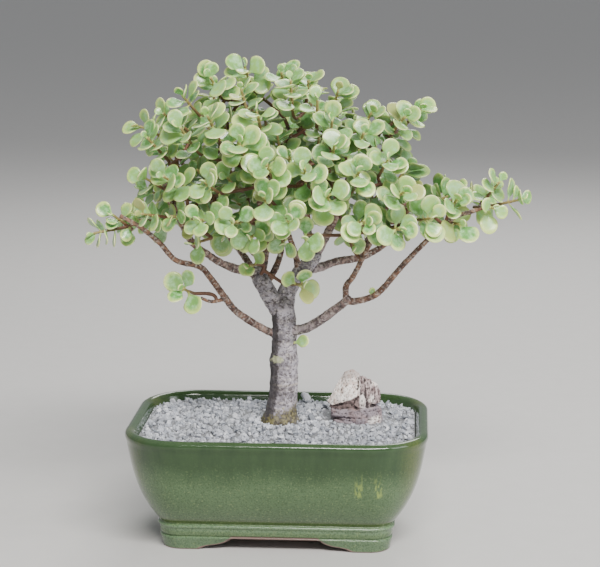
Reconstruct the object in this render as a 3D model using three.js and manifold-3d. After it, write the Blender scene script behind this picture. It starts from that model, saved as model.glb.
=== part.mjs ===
// A variegated elephant bush bonsai in a green glazed rectangular pot.
// Millimetres, +X to the right, +Y away from the viewer, +Z up, feet on Z = 0.
import * as THREE from "three";
import { ConvexGeometry } from "three/addons/geometries/ConvexGeometry.js";
import { mergeVertices } from "three/addons/utils/BufferGeometryUtils.js";
import Module from "manifold-3d";

const wasm = await Module();
wasm.setup();

// Driving dimensions

// The plant leans over one end of its pot, so the pot stands off the middle of the whole
const potPlace = { x: -22, y: -0.5 };
const gap = 0.3; // between pieces that touch

const pot = {
  height: 80,
  rim: { halfX: 102, halfY: 73, corner: 40 },
  foot: { halfX: 78.5, halfY: 49.5, corner: 14 },
  wall: 8,
  underside: 9.5, // height of the clear space between the feet
  footWall: 9, // from the outside of a foot to the hollow behind it
  floorTop: 16.5,
  bandTop: 18.4, // where the belly begins
  drainHole: { radius: 7, x: 38 },
};
// The belly stands out less lower down: a straight share, a curved share and its power
const belly = { straight: 0.42, curved: 0.58, power: 3.5, heights: [21.5, 27, 36, 50, 66] };
// The rolled rim outside and inside: height over or under the pot's top and step
const lipProfile = [[-2.4, 0], [-0.7, -0.8], [0, -2.4], [1, -4]];
const mouthProfile = [[-2, 0], [-0.6, 0.9], [0, 3], [2, 3]];
const cornerPieces = 3; // straight pieces round each corner of the pot
// Height and outward step of the band that runs round the feet
const bandProfile = [
  [0, -0.8],
  [1, 0],
  [8.4, 0.3],
  [9.4, -0.8],
  [10.4, 0],
  [15.4, 0.8],
  [16, 1.8],
  [17.6, 1.8],
  [18.4, 0.4],
];
// Cloud-shaped end of a foot: distance from the pot's corner, height
const footProfile = [
  [23, 0],
  [25, 1.6],
  [28, 2.6],
  [36, 3.8],
  [40, 5],
  [45, 8.4],
  [50, 9.5],
];
const footOnShortSide = 0.62; // the same outline, drawn shorter

const screen = { side: 21, thick: 1.2, holes: 2, bar: 2.4 };
const soilTop = 66;
const gravel = {
  edge: 75,
  level: 76,
  mound: { height: 2.2, halfX: 90, halfY: 60 },
  grain: 1.7,
  stray: 3.4,
  rings: 8,
  sidePieces: 4,
};
const trunkHole = { radius: 13.1, bottom: 44 };
const rockPlace = { x: 52, y: 12, z: 76.6 };
// The gravel is pressed down under the stone
const rockSeat = { radius: 24, wide: 1.1, deep: 0.9, tall: 12, sides: 14 };
const rockBed = { halfX: 29, halfY: 24, sunk: 0.4, rough: 0.5 };

const leaf = {
  thick: 1.9,
  widthShare: 0.82, // of its length
  cup: 1.3, // height of its edges over its middle
  thickest: 0.36, // share of its length from its foot
  sunk: 0.45, // how far its foot runs past the middle of its stem
};
// One edge of a leaf from its stalk to its blunt tip: shares of its length and half width
const leafEdge = [[0, 0], [0.16, 0.08], [0.52, 0.97], [0.93, 0.6]];
const stem = { radius: 1.18, sides: 3, bends: 2, bend: 0.3 };
// Pairs of leaves: depth below the tip, size and spread in degrees
const outerPairs = [[2, 0.86, 48], [9, 1, 74]];
const innerPairs = [[4, 1, 62]];
const canopy = { x: 18, y: 4, z: 232, halfX: 138, halfY: 92, halfZ: 96, upwardPull: 0.2 };

// The trunk and limbs: points from the foot up and the radius at both ends
const limbs = [
  { radii: [12.7, 12.7], sides: 10, points: [[0, 0, 44.4], [0, 0, 76]] },
  {
    radii: [12.75, 7.6],
    sides: 10,
    profile: [1, 0.9, 0.78, 0.735, 0.72, 0.71, 0.66, 0.62, 0.6],
    points: [
      [0, 0, 75.9], [0.6, 0, 81], [1.6, 0, 89], [2.6, 0, 99], [3, 0, 110],
      [3, 0, 121], [3, 0, 133], [3, 0, 146], [2, 0, 158],
    ],
  },
  {
    radii: [6.4, 5],
    sides: 7,
    points: [[2, 0, 152], [-3, -1, 160], [-8, -3, 169], [-13, -5, 178], [-14, -4, 181]],
  },
  {
    radii: [6.4, 4.6],
    sides: 7,
    points: [[3, 1, 152], [5, 5, 167], [11, 8, 177], [17, 10, 184], [23, 12, 191]],
  },
  // Left side
  {
    radii: [3.2, 1.7],
    points: [
      [-12, -5, 176], [-19, -8, 183], [-28, -14, 186], [-36, -19, 190], [-44, -24, 196],
      [-56, -30, 207], [-64, -33, 224], [-70, -33, 235], [-73, -32, 247],
    ],
  },
  {
    radii: [2.7, 1.4],
    points: [
      [1, 0, 137], [-8, -2, 141], [-18, -7, 148], [-29, -12, 157], [-36, -18, 168],
      [-44, -24, 181], [-51, -29, 190], [-66, -34, 195], [-76, -38, 207], [-88, -42, 218],
      [-101, -45, 226],
    ],
  },
  { radii: [1.3, 1], points: [[-35, -17, 166], [-44, -22, 165], [-51, -25, 168]] },
  {
    radii: [2.9, 1.3],
    points: [[-13, -4, 178], [-10, -3, 189], [-9, -2, 204], [-11, -4, 223], [-21, -12, 250]],
  },
  {
    radii: [2.4, 1.3],
    points: [[-10, 0, 172], [-3, 4, 184], [1, 8, 199], [-2, 12, 224], [-12, 14, 262], [-22, 8, 292]],
  },
  {
    radii: [2.2, 1.2],
    points: [[-10, -3, 189], [-24, -20, 206], [-37, -36, 226], [-46, -42, 246]],
  },
  {
    radii: [2.6, 1.2],
    points: [[-10, -3, 172], [-26, 16, 190], [-46, 34, 212], [-64, 42, 236], [-74, 40, 258]],
  },
  {
    radii: [1.8, 1.1],
    points: [[-46, 34, 212], [-68, 44, 218], [-90, 40, 228]],
  },
  // Middle and right side
  {
    radii: [3.4, 1.3],
    points: [
      [22, 12, 189], [20, 13, 200], [15, 16, 219], [13, 18, 235], [11, 20, 256],
      [4, 18, 280],
    ],
  },
  {
    radii: [3.4, 1.5],
    points: [[22, 12, 189], [28, 12, 199], [36, 10, 215], [42, 6, 228], [46, 4, 248]],
  },
  {
    radii: [2.4, 1.2],
    points: [[12, 9, 180], [11, 5, 191], [8, -2, 203], [4, -10, 219], [2, -30, 236]],
  },
  {
    radii: [3.4, 1.6],
    points: [
      [14, 9, 181], [27, 20, 182], [38, 26, 185], [56, 36, 187], [73, 44, 197],
      [88, 48, 219],
    ],
  },
  {
    radii: [2.4, 1.2],
    points: [[20, 11, 188], [18, 34, 204], [14, 52, 226], [6, 58, 250]],
  },
  {
    radii: [2.2, 1.2],
    points: [[56, 36, 187], [60, 52, 208], [58, 60, 232], [52, 60, 254]],
  },
  {
    radii: [3.6, 2.7],
    points: [
      [3, -1, 138], [11, -3, 142], [18, -5, 144], [26, -8, 149], [35, -12, 156],
      [42, -15, 162], [47, -18, 167],
    ],
  },
  {
    radii: [2.2, 1.2],
    points: [
      [46, -17, 166], [46, -20, 176], [51, -24, 184], [60, -32, 203], [71, -38, 226],
      [76, -40, 243],
    ],
  },
  {
    radii: [2.5, 1.2],
    points: [
      [46, -17, 166], [53, -19, 166], [67, -22, 172], [82, -26, 190], [98, -30, 208],
      [115, -33, 224], [132, -35, 231],
    ],
  },
  {
    radii: [1.5, 1.1],
    points: [[42, 6, 228], [54, 2, 255], [66, -2, 275], [78, -6, 286]],
  },
];
const limbSides = 5;

// Shoots seen from the front: the tip's place, the length of its leaves and, for some, which
// way it points
const frontShoots = [
  // upper left
  [-60, -48, 284, 18], [-84, -34, 276, 16], [-70, -60, 254, 16], [-42, -52, 292, 17],
  [-42, -72, 252, 15], [-86, -36, 250, 15], [-20, -70, 277, 17], [-2, -77, 264, 18],
  [-62, -20, 302, 18, [-0.4, -0.6, 0.6]], [-44, -16, 314, 17, [-0.2, -0.7, 0.6]],
  [-94, 2, 280, 16, [-0.7, -0.4, 0.4]], [-76, -14, 290, 16, [-0.6, -0.5, 0.5]],
  // top
  [-10, -58, 296, 17], [-22, -34, 308, 15], [-22, -10, 321, 17, [-0.1, -0.75, 0.6]],
  [10, -34, 314, 17], [28, -44, 302, 15], [2, -6, 317, 16, [0, -0.7, 0.6]],
  [20, -8, 312, 15, [0.1, -0.6, 0.7]],
  [40, -16, 306, 16, [0.2, -0.6, 0.7]], [-48, 20, 304, 17], [20, 24, 308, 17],
  // middle
  [-4, -82, 244, 17], [-46, -72, 228, 18], [-66, -58, 228, 15], [-24, -80, 228, 16],
  [12, -84, 230, 17], [-14, -66, 216, 15], [22, -78, 262, 17], [22, -76, 217, 17],
  // upper right
  [40, -70, 276, 18], [37, -82, 246, 19], [38, -54, 290, 16], [58, -52, 282, 17],
  [62, -20, 292, 16, [0.3, -0.6, 0.6]], [56, -76, 260, 16], [74, -60, 266, 17],
  [84, -24, 290, 16, [0.4, -0.6, 0.6]], [94, -12, 294, 15, [0.5, -0.6, 0.6]],
  // right
  [84, -66, 246, 18], [60, -76, 228, 17], [82, -66, 222, 17], [102, -56, 228, 17],
  [120, -40, 222, 18, [0.3, -0.9, 0.1]], [118, -40, 238, 16, [0.2, -0.8, 0.5]],
  [142, -34, 232, 17, [0.5, -0.8, 0.1]], [146, -28, 248, 16, [0.5, -0.5, 0.7]],
  [160, -30, 237, 15, [0.9, -0.3, 0.25]],
  // lower left
  [-119, -44, 214, 14, [-0.8, -0.5, -0.1]], [-106, -42, 226, 15, [-0.4, -0.7, 0.5]],
  [-60, -46, 178, 17, [-0.2, -0.9, 0.3]], [-52, -58, 210, 15], [-86, -50, 228, 15],
  // under the crown
  [18, -30, 179, 17, [0.5, -0.75, 0.15]], [-18, -34, 192, 13, [-0.3, -0.8, 0.1]],
  [5, -40, 208, 16, [0.1, -0.8, -0.5]], [52, -50, 208, 15, [0.2, -0.8, -0.4]],
];
// The crown's outline from the front: place from side to side, lowest and highest leaf
const crown = [
  [-130, 204, 214], [-104, 200, 232], [-94, 196, 270], [-82, 196, 298], [-50, 197, 318],
  [-20, 198, 330], [15, 198, 326], [45, 198, 310], [80, 200, 292], [92, 203, 268],
  [104, 206, 246], [140, 212, 246], [170, 222, 238],
];
const crownSide = 10; // how far leaves reach outwards over their tip
const viewSlope = 0.188; // from the front, what stands further back shows this much higher
// Shoots spread over two shells in the crown
const backShoots = {
  count: 110,
  down: 1.45,
  shell: [0.84, 0.12],
  apart: 27,
  furthestFront: -24,
  below: 16,
  above: 8,
  leafLength: 17,
  length: 22,
  seed: 300,
};
const innerShoots = {
  count: 190,
  down: 1.4,
  shell: [0.55, 0.24],
  apart: 22.5,
  furthestFront: -70,
  below: 18,
  above: 12,
  leafLength: 15,
  length: 14,
  seed: 1300,
};
const frontShootLength = 22;
const mostShootsOnASpray = 4;
// Where shoots may leave wood or a stem, and how much room they need
const fork = {
  shares: [0.35, 0.65],
  firstShare: 0.3,
  clear: 0.6,
  justLeft: 2.2,
  apart: 2.5,
  tries: 40,
  straight: 0.4, // a stem mustn't fold back where it leaves
  detour: 1.3, // cost of a stem, times its reach
  onwards: 0.5, // saved where it runs on the way that the wood points
  fromWood: 7, // cost of a shoot of its own, in millimetres of stem
  fromEnd: -26,
};
const firstSideLimb = 4; // the stump, the trunk and its two leaders come before it
const leafRoom = { toLeaf: 1.25, toStem: 1.9, turns: 5, turnStep: Math.PI / 10 };
// How far from a shoot's tip, or past a leaf's length, others can be in the way
const nearby = { leaves: 60, stems: 90, pastLeaf: 30, betweenLeaves: 3 };
const leafSeeds = { outer: 1020, inner: 9020, step: 20 };
const shellLeaf = { leastSize: 0.88, sizeSpread: 0.28, seed: 200 };
// How far a leaf strays from its pair's rule: its turn in radians, its lean in degrees, and its size
const leafDrift = { turn: 0.7, lean: 26, leastSize: 0.82, sizeSpread: 0.3 };
// Turns in degrees and sizes that a leaf tries till it finds room
const leafTries = [[0, 1], [12, 1], [-12, 1], [0, 0.82], [18, 0.82], [-18, 0.82]];
const sampleShares = [0.3, 0.5, 0.7, 0.86, 0.97];

const colours = {
  glaze: 0x3f6b35,
  screen: 0x2b2d2c,
  soil: 0x4a3b2e,
  gravel: 0xa9adb3,
  rock: 0xb9a695,
  bark: 0x75675f,
  leaf: 0x9dbb86,
};

// Small helpers

const vec = (x, y, z) => new THREE.Vector3(x, y, z);
const radians = THREE.MathUtils.degToRad;
const lerp = THREE.MathUtils.lerp;

// A repeatable draw between 0 and 1
function draw(seed) {
  const wave = Math.sin(seed * 12.9898) * 43758.5453;
  return wave - Math.floor(wave);
}

// A closed mesh given as points and triangles
function meshOf(points, faces) {
  const geometry = new THREE.BufferGeometry();
  geometry.setAttribute(
    "position",
    new THREE.Float32BufferAttribute(points.flatMap((p) => [p.x, p.y, p.z]), 3),
  );
  geometry.setIndex(faces.flat());
  return geometry;
}

// Any closed geometry as a solid to join or cut
function solidOf(geometry) {
  const plain = geometry.clone();
  plain.deleteAttribute("normal");
  plain.deleteAttribute("uv");
  const merged = mergeVertices(plain, 1e-4);
  return new wasm.Manifold(
    new wasm.Mesh({
      numProp: 3,
      vertProperties: new Float32Array(merged.attributes.position.array),
      triVerts: new Uint32Array(merged.index.array),
    }),
  );
}

function joined(solids) {
  return solids.reduce((whole, next) => whole.add(next));
}

function geometryOf(solid) {
  const { vertProperties, triVerts, numProp } = solid.getMesh();
  const points = [];
  for (let i = 0; i < vertProperties.length; i += numProp) {
    points.push(vec(vertProperties[i], vertProperties[i + 1], vertProperties[i + 2]));
  }
  const faces = [];
  for (let i = 0; i < triVerts.length; i += 3) faces.push([...triVerts.slice(i, i + 3)]);
  return meshOf(points, faces);
}

// A closed solid through rings of equal count, bottom first, anticlockwise from above
function loft(rings) {
  const count = rings[0].length;
  const last = (rings.length - 1) * count;
  const faces = [];
  for (let i = 0; i < count; i++) {
    const j = (i + 1) % count;
    if (i > 0 && j > 0) faces.push([0, j, i], [last, last + i, last + j]);
    for (let k = 0; k < last; k += count) {
      faces.push([k + i, k + j, k + count + j], [k + i, k + count + j, k + count + i]);
    }
  }
  return meshOf(rings.flat(), faces);
}

// A rounded rectangle at one height; every ring has the same count, so rings can be lofted
function roundedRing({ halfX, halfY, corner }, z, perSide = 1) {
  const ring = [];
  [[1, 1], [-1, 1], [-1, -1], [1, -1]].forEach(([signX, signY], quarter) => {
    for (let i = 0; i <= cornerPieces; i++) {
      const angle = ((quarter + i / cornerPieces) * Math.PI) / 2;
      ring.push(
        vec(
          signX * (halfX - corner) + corner * Math.cos(angle),
          signY * (halfY - corner) + corner * Math.sin(angle),
          z,
        ),
      );
    }
    const from = ring.at(-1);
    const alongX = quarter % 2 === 0;
    const to = alongX ? vec(-from.x, from.y, z) : vec(from.x, -from.y, z);
    for (let i = 1; i < perSide; i++) ring.push(from.clone().lerp(to, i / perSide));
  });
  return ring;
}

// Pot

// The pot's outline where it stands out from its foot by a given step
function potOutline(step) {
  const share = step / (pot.rim.halfX - pot.foot.halfX);
  return {
    halfX: pot.foot.halfX + step,
    halfY: pot.foot.halfY + step,
    corner: lerp(pot.foot.corner, pot.rim.corner, Math.max(share, 0)),
  };
}

// How far the belly stands out from the foot at a height
function bellyStep(z) {
  const down = (pot.height - z) / (pot.height - pot.bandTop);
  const full = pot.rim.halfX - pot.foot.halfX;
  return full * (1 - belly.straight * down - belly.curved * down ** belly.power);
}

function potBody() {
  const lip = pot.rim.halfX - pot.foot.halfX;
  const profile = [
    ...bandProfile,
    ...belly.heights.map((z) => [z, bellyStep(z)]),
    ...lipProfile.map(([z, step]) => [pot.height + z, lip + step]),
  ];
  return solidOf(loft(profile.map(([z, step]) => roundedRing(potOutline(step), z))));
}

// Rings of the inside of the pot between two heights, a little smaller if there is a gap
function cavityRings(heights, clear, perSide) {
  return heights.map((z) =>
    roundedRing(potOutline(bellyStep(z) - pot.wall - clear), z, perSide));
}

const cavityHeights = [pot.floorTop, 20, 27, 40, soilTop, gravel.edge];

function cavity() {
  const inside = bellyStep(pot.height + mouthProfile[0][0]) - pot.wall;
  const mouth = mouthProfile.map(([z, step]) =>
    roundedRing(potOutline(inside + step), pot.height + z));
  return solidOf(loft([...cavityRings(cavityHeights, 0), ...mouth]));
}

// The clear space between two feet, cut from side to side
function footSpace(half, shorten, alongX) {
  const right = footProfile.map(([along, z]) => [half - along * shorten, z]);
  const outline = [[right[0][0], -2], ...right];
  const mirrored = outline.map(([x, z]) => [-x, z]).reverse();
  const shape = new THREE.Shape(
    [...outline, ...mirrored].map(([x, z]) => new THREE.Vector2(x, z)),
  );
  const length = 2 * pot.rim.halfX;
  const bar = new THREE.ExtrudeGeometry(shape, { depth: length, bevelEnabled: false });
  bar.translate(0, 0, -length / 2);
  bar.rotateX(Math.PI / 2);
  if (alongX) bar.rotateZ(Math.PI / 2);
  return solidOf(bar);
}

function drainHoles() {
  const tall = pot.floorTop + 4;
  return [-1, 1].map((side) => {
    const hole = new THREE.CylinderGeometry(
      pot.drainHole.radius, pot.drainHole.radius, tall, 16,
    );
    hole.rotateX(Math.PI / 2);
    hole.translate(side * pot.drainHole.x, 0, tall / 2);
    return solidOf(hole);
  });
}

// The hollow under the floor, inside the feet
function underFloor() {
  const inner = {
    halfX: pot.foot.halfX - pot.footWall,
    halfY: pot.foot.halfY - pot.footWall,
    corner: pot.foot.corner - pot.footWall,
  };
  return solidOf(loft([roundedRing(inner, -1), roundedRing(inner, pot.underside)]));
}

function makePot() {
  const cuts = [
    cavity(),
    underFloor(),
    footSpace(pot.foot.halfX, 1, false),
    footSpace(pot.foot.halfY, footOnShortSide, true),
    ...drainHoles(),
  ];
  return geometryOf(cuts.reduce((body, cut) => body.subtract(cut), potBody()));
}

// Plastic net over a drain hole
function makeScreen() {
  const plate = new THREE.BoxGeometry(screen.side, screen.side, screen.thick);
  const pitch = (screen.side - screen.bar) / screen.holes;
  const mesh = pitch - screen.bar;
  let net = solidOf(plate.translate(0, 0, screen.thick / 2));
  for (let i = 0; i < screen.holes; i++) {
    for (let j = 0; j < screen.holes; j++) {
      const centre = (n) => (n - (screen.holes - 1) / 2) * pitch;
      const hole = new THREE.BoxGeometry(mesh, mesh, 4 * screen.thick);
      net = net.subtract(solidOf(hole.translate(centre(i), centre(j), 0)));
    }
  }
  return geometryOf(net);
}

// Soil and gravel

function stemHole(top) {
  const tall = top - trunkHole.bottom;
  const hole = new THREE.CylinderGeometry(trunkHole.radius, trunkHole.radius, tall, 16);
  hole.rotateX(Math.PI / 2);
  hole.translate(0, 0, trunkHole.bottom + tall / 2);
  return solidOf(hole);
}

function makeSoil() {
  const heights = cavityHeights.filter((z) => z <= soilTop);
  const rings = cavityRings(heights, gap);
  rings[0].forEach((p) => p.setZ(pot.floorTop + gap));
  let body = solidOf(loft(rings)).subtract(stemHole(soilTop + 1));
  for (const side of [-1, 1]) {
    const clear = screen.side + 2 * gap;
    const tall = screen.thick + 3 * gap;
    const pocket = new THREE.BoxGeometry(clear, clear, 2 * tall);
    pocket.translate(side * pot.drainHole.x, 0, pot.floorTop);
    body = body.subtract(solidOf(pocket));
  }
  return geometryOf(body);
}

// Height of the gravel over its rim level: higher by the trunk, level under the stone
function gravelHeight(x, y, seed) {
  const out = Math.hypot(x / gravel.mound.halfX, y / gravel.mound.halfY);
  const mound = gravel.mound.height * Math.max(0, 1 - out * out);
  const bump = gravel.grain * (2 * draw(seed) - 1);
  const fromRockX = (x - rockPlace.x) / rockBed.halfX;
  const fromRockY = (y - rockPlace.y) / rockBed.halfY;
  if (Math.hypot(fromRockX, fromRockY) < 1) {
    return rockPlace.z - gap - rockBed.sunk - (1 - draw(seed)) * rockBed.rough;
  }
  return gravel.level + mound + bump;
}

function makeGravel() {
  const rings = cavityRings([soilTop + gap, gravel.edge], gap, gravel.sidePieces);
  const rim = rings.at(-1);
  for (let k = 1; k < gravel.rings; k++) {
    const share = 1 - k / gravel.rings;
    rings.push(
      rim.map((p, i) => {
        const seed = k * 100 + i;
        const x = share * (p.x + (draw(seed + 7000) - 0.5) * gravel.stray);
        const y = share * (p.y + (draw(seed + 9000) - 0.5) * gravel.stray);
        return vec(x, y, gravelHeight(x, y, seed));
      }),
    );
  }
  const seat = new THREE.CylinderGeometry(
    rockSeat.radius, rockSeat.radius, rockSeat.tall, rockSeat.sides,
  );
  seat.rotateX(Math.PI / 2);
  seat.scale(rockSeat.wide, rockSeat.deep, 1);
  seat.translate(rockPlace.x, rockPlace.y, rockPlace.z - gap + rockSeat.tall / 2);
  return geometryOf(
    solidOf(loft(rings)).subtract(stemHole(pot.height + 5)).subtract(solidOf(seat)),
  );
}

// Accent stone: a cracked slab below, a pale peak and a lower pinkish block on it
const stoneBlocks = [
  [
    [-20, -6, 0], [-12, -14, 0], [8, -15, 0], [19, -7, 0], [20, 5, 0], [8, 14, 0], [-14, 12, 0],
    [-19, -4, 9], [-10, -13, 12], [9, -14, 11], [17, -5, 14], [17, 6, 13], [6, 12, 15],
    [-12, 10, 14],
  ],
  [
    [-18, -6, 10], [-8, -12, 9], [5, -10, 10], [8, 6, 10], [-8, 10, 9], [-16, -5, 19],
    [-7, -9, 24], [3, -7, 27], [-3, 2, 37], [4, 4, 33], [-10, 5, 30], [-13, 1, 27],
  ],
  [
    [0, -11, 9], [15, -8, 10], [17, 5, 10], [4, 11, 9], [1, -8, 24], [12, -5, 27],
    [14, 4, 23], [3, 8, 30], [6, -3, 33],
  ],
];

function makeStone() {
  const blocks = stoneBlocks.map((block) =>
    solidOf(new ConvexGeometry(block.map(([x, y, z]) => vec(x, y, z)))));
  return geometryOf(joined(blocks));
}

// Wood

// A tapered tube through points, with flat ends; it may leave in a given direction
function tube(points, radii, sides, leave) {
  const tangents = points.map((p, i) =>
    (points[i + 1] ?? p).clone().sub(points[i - 1] ?? p).normalize());
  if (leave) tangents[0] = leave;
  const first = tangents[0];
  const away = Math.abs(first.z) < 0.9 ? vec(0, 0, 1) : vec(1, 0, 0);
  let across = away.cross(first).normalize();
  const rings = points.map((p, i) => {
    const along = tangents[i];
    across = across.clone().addScaledVector(along, -across.dot(along)).normalize();
    const up = along.clone().cross(across);
    return Array.from({ length: sides }, (_, k) => {
      const angle = (2 * Math.PI * k) / sides;
      return p
        .clone()
        .addScaledVector(across, radii[i] * Math.cos(angle))
        .addScaledVector(up, radii[i] * Math.sin(angle));
    });
  });
  return loft(rings);
}

// Each limb with its points as vectors and a radius at each
const wood = limbs.map(({ points, radii, profile, sides = limbSides }) => ({
  isWood: true,
  sides,
  points: points.map((p) => vec(...p)),
  radii: points.map((_, i) =>
    profile ? radii[0] * profile[i] : lerp(radii[0], radii[1], i / (points.length - 1))),
}));

function makeWood() {
  return geometryOf(
    joined(wood.map(({ points, radii, sides }) => solidOf(tube(points, radii, sides)))),
  );
}

// Shoots: where they point and which limb or stem they grow from

function outwards(tip) {
  return vec(
    (tip.x - canopy.x) / canopy.halfX ** 2,
    (tip.y - canopy.y) / canopy.halfY ** 2,
    (tip.z - canopy.z) / canopy.halfZ ** 2,
  )
    .multiplyScalar(canopy.halfY)
    .add(vec(0, 0, canopy.upwardPull))
    .normalize();
}

function shootAt(tip, leafLength, length, axis = outwards(tip)) {
  return { tip, axis, leafLength, foot: tip.clone().addScaledVector(axis, -length) };
}

// Lowest and highest leaf of the crown at a place from side to side
function crownAt(x) {
  const next = crown.findIndex(([at]) => at >= x);
  if (next < 0) return crown.at(-1).slice(1);
  if (next === 0) return crown[0].slice(1);
  const [from, ...before] = crown[next - 1];
  const [to, ...after] = crown[next];
  return before.map((z, i) => lerp(z, after[i], (x - from) / (to - from)));
}

// Shoots spread evenly over a shell inside the crown, clear of the others
function shellShoots(rule, others) {
  const found = [];
  const golden = Math.PI * (3 - Math.sqrt(5));
  for (let i = 0; i < rule.count; i++) {
    const up = 1 - (rule.down * (i + 0.5)) / rule.count;
    const round = Math.sqrt(1 - up * up);
    const shell = rule.shell[0] + rule.shell[1] * draw(i + rule.seed);
    const tip = vec(
      canopy.x + canopy.halfX * shell * round * Math.cos(golden * i),
      canopy.y + canopy.halfY * shell * round * Math.sin(golden * i),
      canopy.z + canopy.halfZ * shell * up,
    );
    const [lowest, highest] = crownAt(tip.x + crownSide * Math.sign(tip.x - canopy.x));
    const shown = viewSlope * tip.y;
    tip.z = Math.min(tip.z, highest - rule.above - shown);
    const isLow = tip.z < lowest + rule.below - shown;
    const isNear = [...others, ...found].some(
      (other) => other.tip.distanceTo(tip) < rule.apart,
    );
    if (isNear || isLow || tip.y < rule.furthestFront) continue;
    const grown = shellLeaf.leastSize + shellLeaf.sizeSpread * draw(i + rule.seed + shellLeaf.seed);
    found.push(shootAt(tip, rule.leafLength * grown, rule.length));
  }
  return found;
}

// Straight pieces of wood or stem, each with a radius, that others keep clear of
function segmentsOf(points, radii, owner) {
  return points.slice(1).map((end, i) => ({
    start: points[i],
    end,
    radius: Math.max(radii[i], radii[i + 1]),
    owner,
  }));
}

function distanceTo(segment, point) {
  const along = segment.end.clone().sub(segment.start);
  const share = point.clone().sub(segment.start).dot(along) / along.lengthSq();
  const nearest = segment.start
    .clone()
    .addScaledVector(along, THREE.MathUtils.clamp(share, 0, 1));
  return nearest.distanceTo(point);
}

// Places that a shoot can grow from
function portsOn(points, radii, owner, withEnd) {
  const ports = [];
  points.slice(1).forEach((end, i) => {
    for (const share of fork.shares) {
      if ((i + share) / (points.length - 1) < fork.firstShare) continue;
      ports.push({
        owner,
        place: points[i].clone().lerp(end, share),
        along: end.clone().sub(points[i]).normalize(),
        radius: Math.max(radii[i], radii[i + 1]),
      });
    }
  });
  if (withEnd) {
    const [before, end] = points.slice(-2);
    const along = end.clone().sub(before).normalize();
    ports.push({ owner, place: end.clone(), along, radius: 0, isEnd: true });
  }
  return ports;
}

// A stem from a port to a shoot's tip
function stemFrom(port, goal) {
  const reach = goal.foot.clone().sub(port.place);
  const sideways = reach.clone().addScaledVector(port.along, -reach.dot(port.along));
  const leave = port.isEnd ? port.along.clone() : sideways.normalize();
  const clear = port.owner.isWood ? port.radius + gap + 0.05 : 0;
  const start = port.place.clone().addScaledVector(leave, clear);
  const bend = stem.bend * reach.length();
  const curve = new THREE.CubicBezierCurve3(
    start,
    start.clone().addScaledVector(leave, bend),
    goal.foot.clone().addScaledVector(goal.axis, -bend),
    goal.foot,
  );
  const points = [...curve.getPoints(stem.bends), goal.tip.clone()];
  return { points, leave, goal, radii: points.map(() => stem.radius) };
}

function isStemClear({ points, leave }, port, obstacles) {
  const pieces = 6;
  const first = points[1].clone().sub(points[0]);
  if (first.dot(leave) < fork.straight * first.length()) return false;
  const curve = [];
  points.slice(1).forEach((end, i) => {
    for (let k = 0; k < pieces; k++) curve.push(points[i].clone().lerp(end, k / pieces));
  });
  curve.push(points.at(-1));
  const leftAt = port.radius + fork.justLeft;
  return obstacles.every((segment) => {
    const isOwn = segment.owner === port.owner;
    if (isOwn && !port.owner.isWood) return true;
    const room = segment.radius + stem.radius + fork.clear;
    return curve.every((p, i) => {
      const justLeft = isOwn && i < pieces && p.distanceTo(port.place) < leftAt;
      return justLeft || distanceTo(segment, p) > room;
    });
  });
}

function portCost(port, goal) {
  const reach = goal.foot.clone().sub(port.place);
  const forward = reach.dot(port.along) / (reach.length() + 1);
  const fromWood = port.owner.isWood ? fork.fromWood : 0;
  const fromEnd = port.isEnd ? fork.fromEnd : 0;
  return reach.length() * (fork.detour - fork.onwards * forward) + fromWood + fromEnd;
}

function isOpen(port) {
  return !port.used && (port.owner.isWood || port.owner.stems.length < mostShootsOnASpray);
}

// The bare wood, before any shoot has grown
function bareWood() {
  return {
    obstacles: wood.flatMap((limb) => segmentsOf(limb.points, limb.radii, limb)),
    ports: wood.flatMap((limb, i) =>
      portsOn(limb.points, limb.radii, limb, i >= firstSideLimb)),
    sprays: [],
    leaves: [],
  };
}

// Grows every shoot's stem, the ones next to the wood first; stems that fork share a spray
function growStems({ obstacles, ports, sprays }, shoots) {
  const reachOf = (goal) => Math.min(...ports.map((p) => p.place.distanceTo(goal.foot)));
  const queue = shoots
    .map((goal) => ({ goal, reach: reachOf(goal) }))
    .sort((a, b) => a.reach - b.reach);
  const grown = [];
  for (const { goal } of queue) {
    const nearest = ports
      .filter(isOpen)
      .map((port) => ({ port, cost: portCost(port, goal) }))
      .sort((a, b) => a.cost - b.cost)
      .slice(0, fork.tries);
    for (const { port } of nearest) {
      const made = stemFrom(port, goal);
      if (!isStemClear(made, port, obstacles)) continue;
      const spray = port.owner.isWood ? { isWood: false, stems: [], leaves: [] } : port.owner;
      if (port.owner.isWood) sprays.push(spray);
      made.spray = spray;
      spray.stems.push(made);
      grown.push(made);
      obstacles.push(...segmentsOf(made.points, made.radii, spray));
      ports.push(...portsOn(made.points.slice(0, -1), made.radii, spray, false));
      ports.forEach((other) => {
        if (other.place.distanceTo(port.place) < fork.apart) other.used = true;
      });
      break;
    }
  }
  return grown;
}

// Leaves

// Half the width of a leaf at a share of its length
function leafHalfWidth(share, length) {
  const wide = (leaf.widthShare * length) / 2;
  const next = leafEdge.findIndex(([at]) => at >= share);
  if (next < 0) return wide * leafEdge.at(-1)[1];
  if (next === 0) return 0;
  const [[from, narrow], [to, broad]] = leafEdge.slice(next - 1, next + 1);
  return wide * lerp(narrow, broad, (share - from) / (to - from));
}

function leafPoint(blade, along, side, up) {
  return blade.foot
    .clone()
    .addScaledVector(blade.along, along)
    .addScaledVector(blade.side, side)
    .addScaledVector(blade.up, up);
}

function leafSamples(blade) {
  const points = [];
  for (const share of sampleShares) {
    const half = leafHalfWidth(share, blade.length);
    for (const side of [-1, -0.5, 0, 0.5, 1]) {
      const edge = leaf.cup * side * side;
      points.push(leafPoint(blade, share * blade.length, side * half, edge));
    }
  }
  return points;
}

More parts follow.
